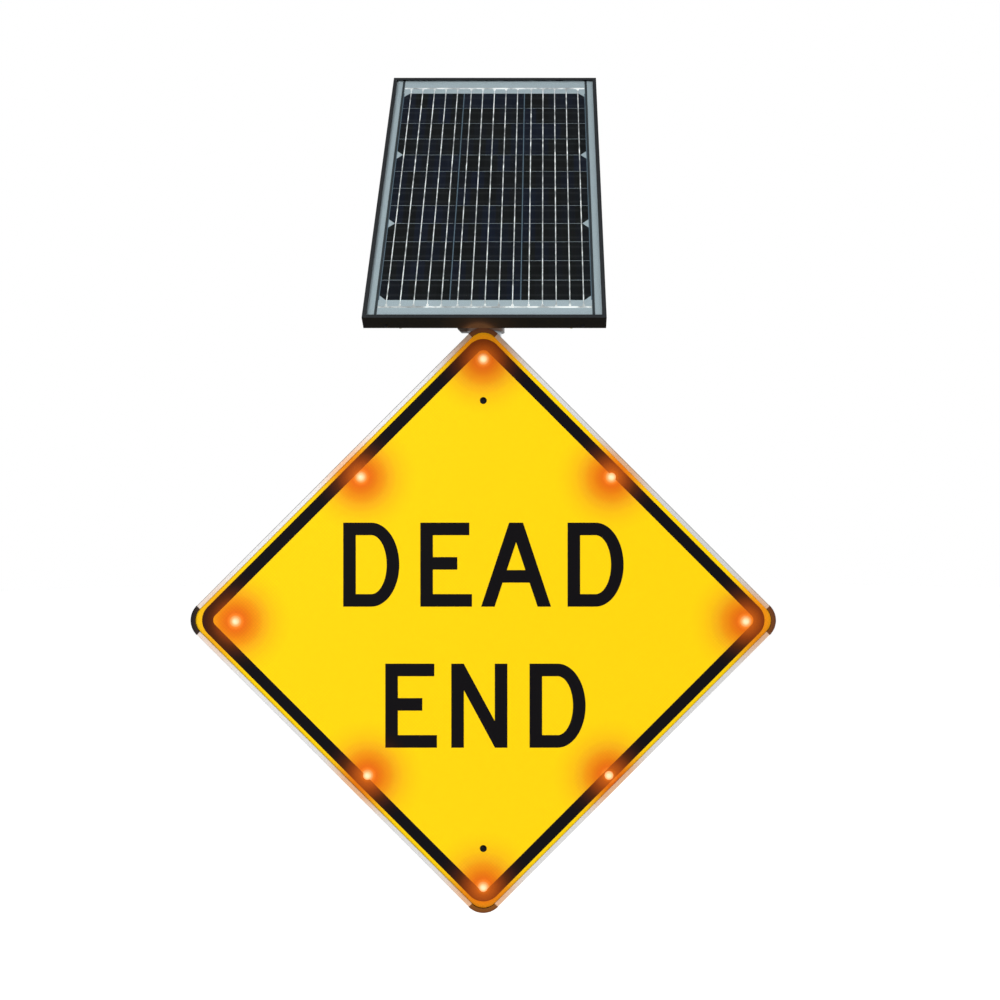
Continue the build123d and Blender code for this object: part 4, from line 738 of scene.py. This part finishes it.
# Painted glint: an emission on the brighter stretches.
glint = add(
    tree, "ShaderNodeValToRGB", {"Fac": tin.outputs["Fac"]},
    stops=[(0.4, "#1C1C1E"), (0.5, "#8C8D90"), (0.6, "#FFFFFF")],
)
shader.inputs["Roughness"].default_value = 0.4
shader.inputs["Emission Strength"].default_value = GLINT
tree.links.new(glint.outputs["Color"], shader.inputs["Emission Color"])
tree.links.new(bright.outputs["Color"], shader.inputs["Base Color"])


# Backsheet, seal strips and junction box: a white laminate closes the back of
# the cells, drawn pale blue-grey with the shade and sky reflection it shows
# under the glass painted in. The dark seal strips beside the cells are painted
# shade, set where a shadow line runs along the frame, and the box on the back
# holds the diodes.
LAMINATE = 1.5  # mm, the weave of the laminate
COLUMN_EDGE = 0.0623  # m from the panel's middle line to the gap between two columns of cells
COLUMN_GAP = 0.003  # m of painted shade to either side of it, partly under the cells
MARGIN = 0.0055  # m of sheet beside the cells, in the shade of the seal
FRONT_LEAN = 0.1  # least upward part of the normal on the front of the leaning sheet
tree, shader, place = coat("pale grey polyester backsheet", "backsheet")
weave = add(
    tree, "ShaderNodeTexNoise", {"Vector": place, "Scale": per_metre(LAMINATE), "Detail": 4.0}
)
# Painted shade and sky reflection: a white sheet drawn pale blue-grey.
pale = add(
    tree, "ShaderNodeValToRGB", {"Fac": weave.outputs["Fac"]},
    stops=[(0.25, "#C0CDD8"), (0.75, "#CFDBE4")],
)
spot = add(tree, "ShaderNodeSeparateXYZ", {0: place})
middle = (cells_low.x + cells_high.x) / 2
offset = add(tree, "ShaderNodeMath", {0: spot.outputs["X"], 1: middle}, operation="SUBTRACT")
aside = add(tree, "ShaderNodeMath", {0: offset.outputs[0]}, operation="ABSOLUTE")
in_gap = add(
    tree, "ShaderNodeMath", {0: aside.outputs[0], 1: COLUMN_EDGE, 2: COLUMN_GAP},
    operation="COMPARE",
)
beside = add(
    tree, "ShaderNodeMath",
    {0: aside.outputs[0], 1: (cells_high.x - cells_low.x + MARGIN) / 2, 2: MARGIN / 2},
    operation="COMPARE",
)
dim = add(
    tree, "ShaderNodeMath", {0: in_gap.outputs[0], 1: beside.outputs[0]}, operation="MAXIMUM"
)
under = add(
    tree, "ShaderNodeMath", {0: spot.outputs["Z"], 1: cells_high.z}, operation="LESS_THAN"
)
over = add(
    tree, "ShaderNodeMath", {0: spot.outputs["Z"], 1: cells_low.z}, operation="GREATER_THAN"
)
within = add(
    tree, "ShaderNodeMath", {0: under.outputs[0], 1: over.outputs[0]}, operation="MULTIPLY"
)
normal = add(tree, "ShaderNodeTexCoord").outputs["Normal"]
lean = add(tree, "ShaderNodeSeparateXYZ", {0: normal}).outputs["Z"]
front = add(tree, "ShaderNodeMath", {0: lean, 1: FRONT_LEAN}, operation="GREATER_THAN")
facing = add(
    tree, "ShaderNodeMath", {0: within.outputs[0], 1: front.outputs[0]}, operation="MULTIPLY"
)
shaded = add(
    tree, "ShaderNodeMath", {0: dim.outputs[0], 1: facing.outputs[0]}, operation="MULTIPLY"
)
# Painted shade: the sheet is darkened in the gaps between columns of cells and in the margin beside
# them.
sheet = add(
    tree, "ShaderNodeMix",
    {"Factor": shaded.outputs[0], 6: pale.outputs["Color"], 7: linear("#72879A")},
    data_type="RGBA",
)
shader.inputs["IOR"].default_value = 1.57
shader.inputs["Roughness"].default_value = 0.5
tree.links.new(sheet.outputs[2], shader.inputs["Base Color"])
# Painted shade: dark slate strips on the pieces named edge_seals, where the shadow line along the frame
# falls.
mould("dark painted shade strip", "#353C42", "#42494F", 0.7, 1.5, "edge_seals")
mould("black moulded junction box", "#191A1B", "#242526", 0.5, 1.54, "junction_box")
ease("junction_box")


# Floor, light and camera: a pale floor below, a white backdrop, a sky that
# darkens overhead, and two large soft lamps, front left and back right.
FLOOR_DROP = 0.39  # m from the lowest point to the floor
FLOOR_RADIUS = 14.0  # m
ROLLER_PATCH = 300.0  # mm across a patch of the rolled paint
bpy.ops.mesh.primitive_circle_add(
    vertices=96, radius=FLOOR_RADIUS, fill_type="NGON",
    location=(0.0, 0.0, cad_bounds[0][2] - FLOOR_DROP),
)
floor = bpy.context.object
floor.name = "studio_floor"
painted = bpy.data.materials.new("matt white painted board")
painted.use_nodes = True
floor.data.materials.append(painted)
tree = painted.node_tree
shader = tree.nodes["Principled BSDF"]
place = add(tree, "ShaderNodeTexCoord").outputs["Object"]
roller = add(
    tree, "ShaderNodeTexNoise", {"Vector": place, "Scale": per_metre(ROLLER_PATCH), "Detail": 3.0}
)
white = add(
    tree, "ShaderNodeValToRGB", {"Fac": roller.outputs["Fac"]},
    stops=[(0.3, "#F6F6F5"), (0.7, "#FBFBFA")],
)
shader.inputs["Roughness"].default_value = 0.9
shader.inputs["Emission Color"].default_value = linear("#FFFFFF")
shader.inputs["Emission Strength"].default_value = 0.7
tree.links.new(white.outputs["Color"], shader.inputs["Base Color"])

world = bpy.data.worlds.new("studio")
bpy.context.scene.world = world
world.use_nodes = True
tree = world.node_tree
backdrop = tree.nodes["Background"]
way = add(tree, "ShaderNodeTexCoord").outputs["Generated"]
up = add(tree, "ShaderNodeSeparateXYZ", {0: way})
sky = add(
    tree, "ShaderNodeValToRGB", {"Fac": up.outputs["Z"]},
    stops=[(0.0, "#FFFFFF"), (0.3, "#EDEDED"), (0.6, "#9A9C9E"), (0.85, "#54575A"), (1.0, "#4A4D50")],
)
seen = add(tree, "ShaderNodeLightPath")
shown = add(
    tree, "ShaderNodeMix",
    {"Factor": seen.outputs["Is Camera Ray"], 6: sky.outputs["Color"], 7: linear("#FFFFFF")},
    data_type="RGBA",
)
tree.links.new(shown.outputs[2], backdrop.inputs["Color"])

SOFTBOX_SIDE = 2.2  # m


def softbox(name, energy, place, tilt, turn):
    """Hangs a square soft lamp, tilted up from straight down and turned, in degrees."""
    light = bpy.data.lights.new(name, "AREA")
    light.shape = "SQUARE"
    light.size = SOFTBOX_SIDE
    light.energy = energy
    lamp = bpy.data.objects.new(name, light)
    lamp.location = place
    lamp.rotation_euler = (radians(tilt), 0.0, radians(turn))
    bpy.context.scene.collection.objects.link(lamp)


softbox("front softbox", 42.0, (-1.6, -3.2, 1.9), 68, -26)
softbox("back softbox", 16.0, (1.8, 3.2, 1.6), 74, 150)

lens = bpy.data.cameras.new("camera")
lens.lens = 41.4
lens.sensor_width = 36.0
lens.shift_x = -0.0456
camera = bpy.data.objects.new("camera", lens)
camera.location = (0.114, -2.185, 0.700)
camera.rotation_euler = (radians(90), 0.0, 0.0)
bpy.context.scene.collection.objects.link(camera)
bpy.context.scene.camera = camera
bpy.context.scene.view_settings.view_transform = "Standard"
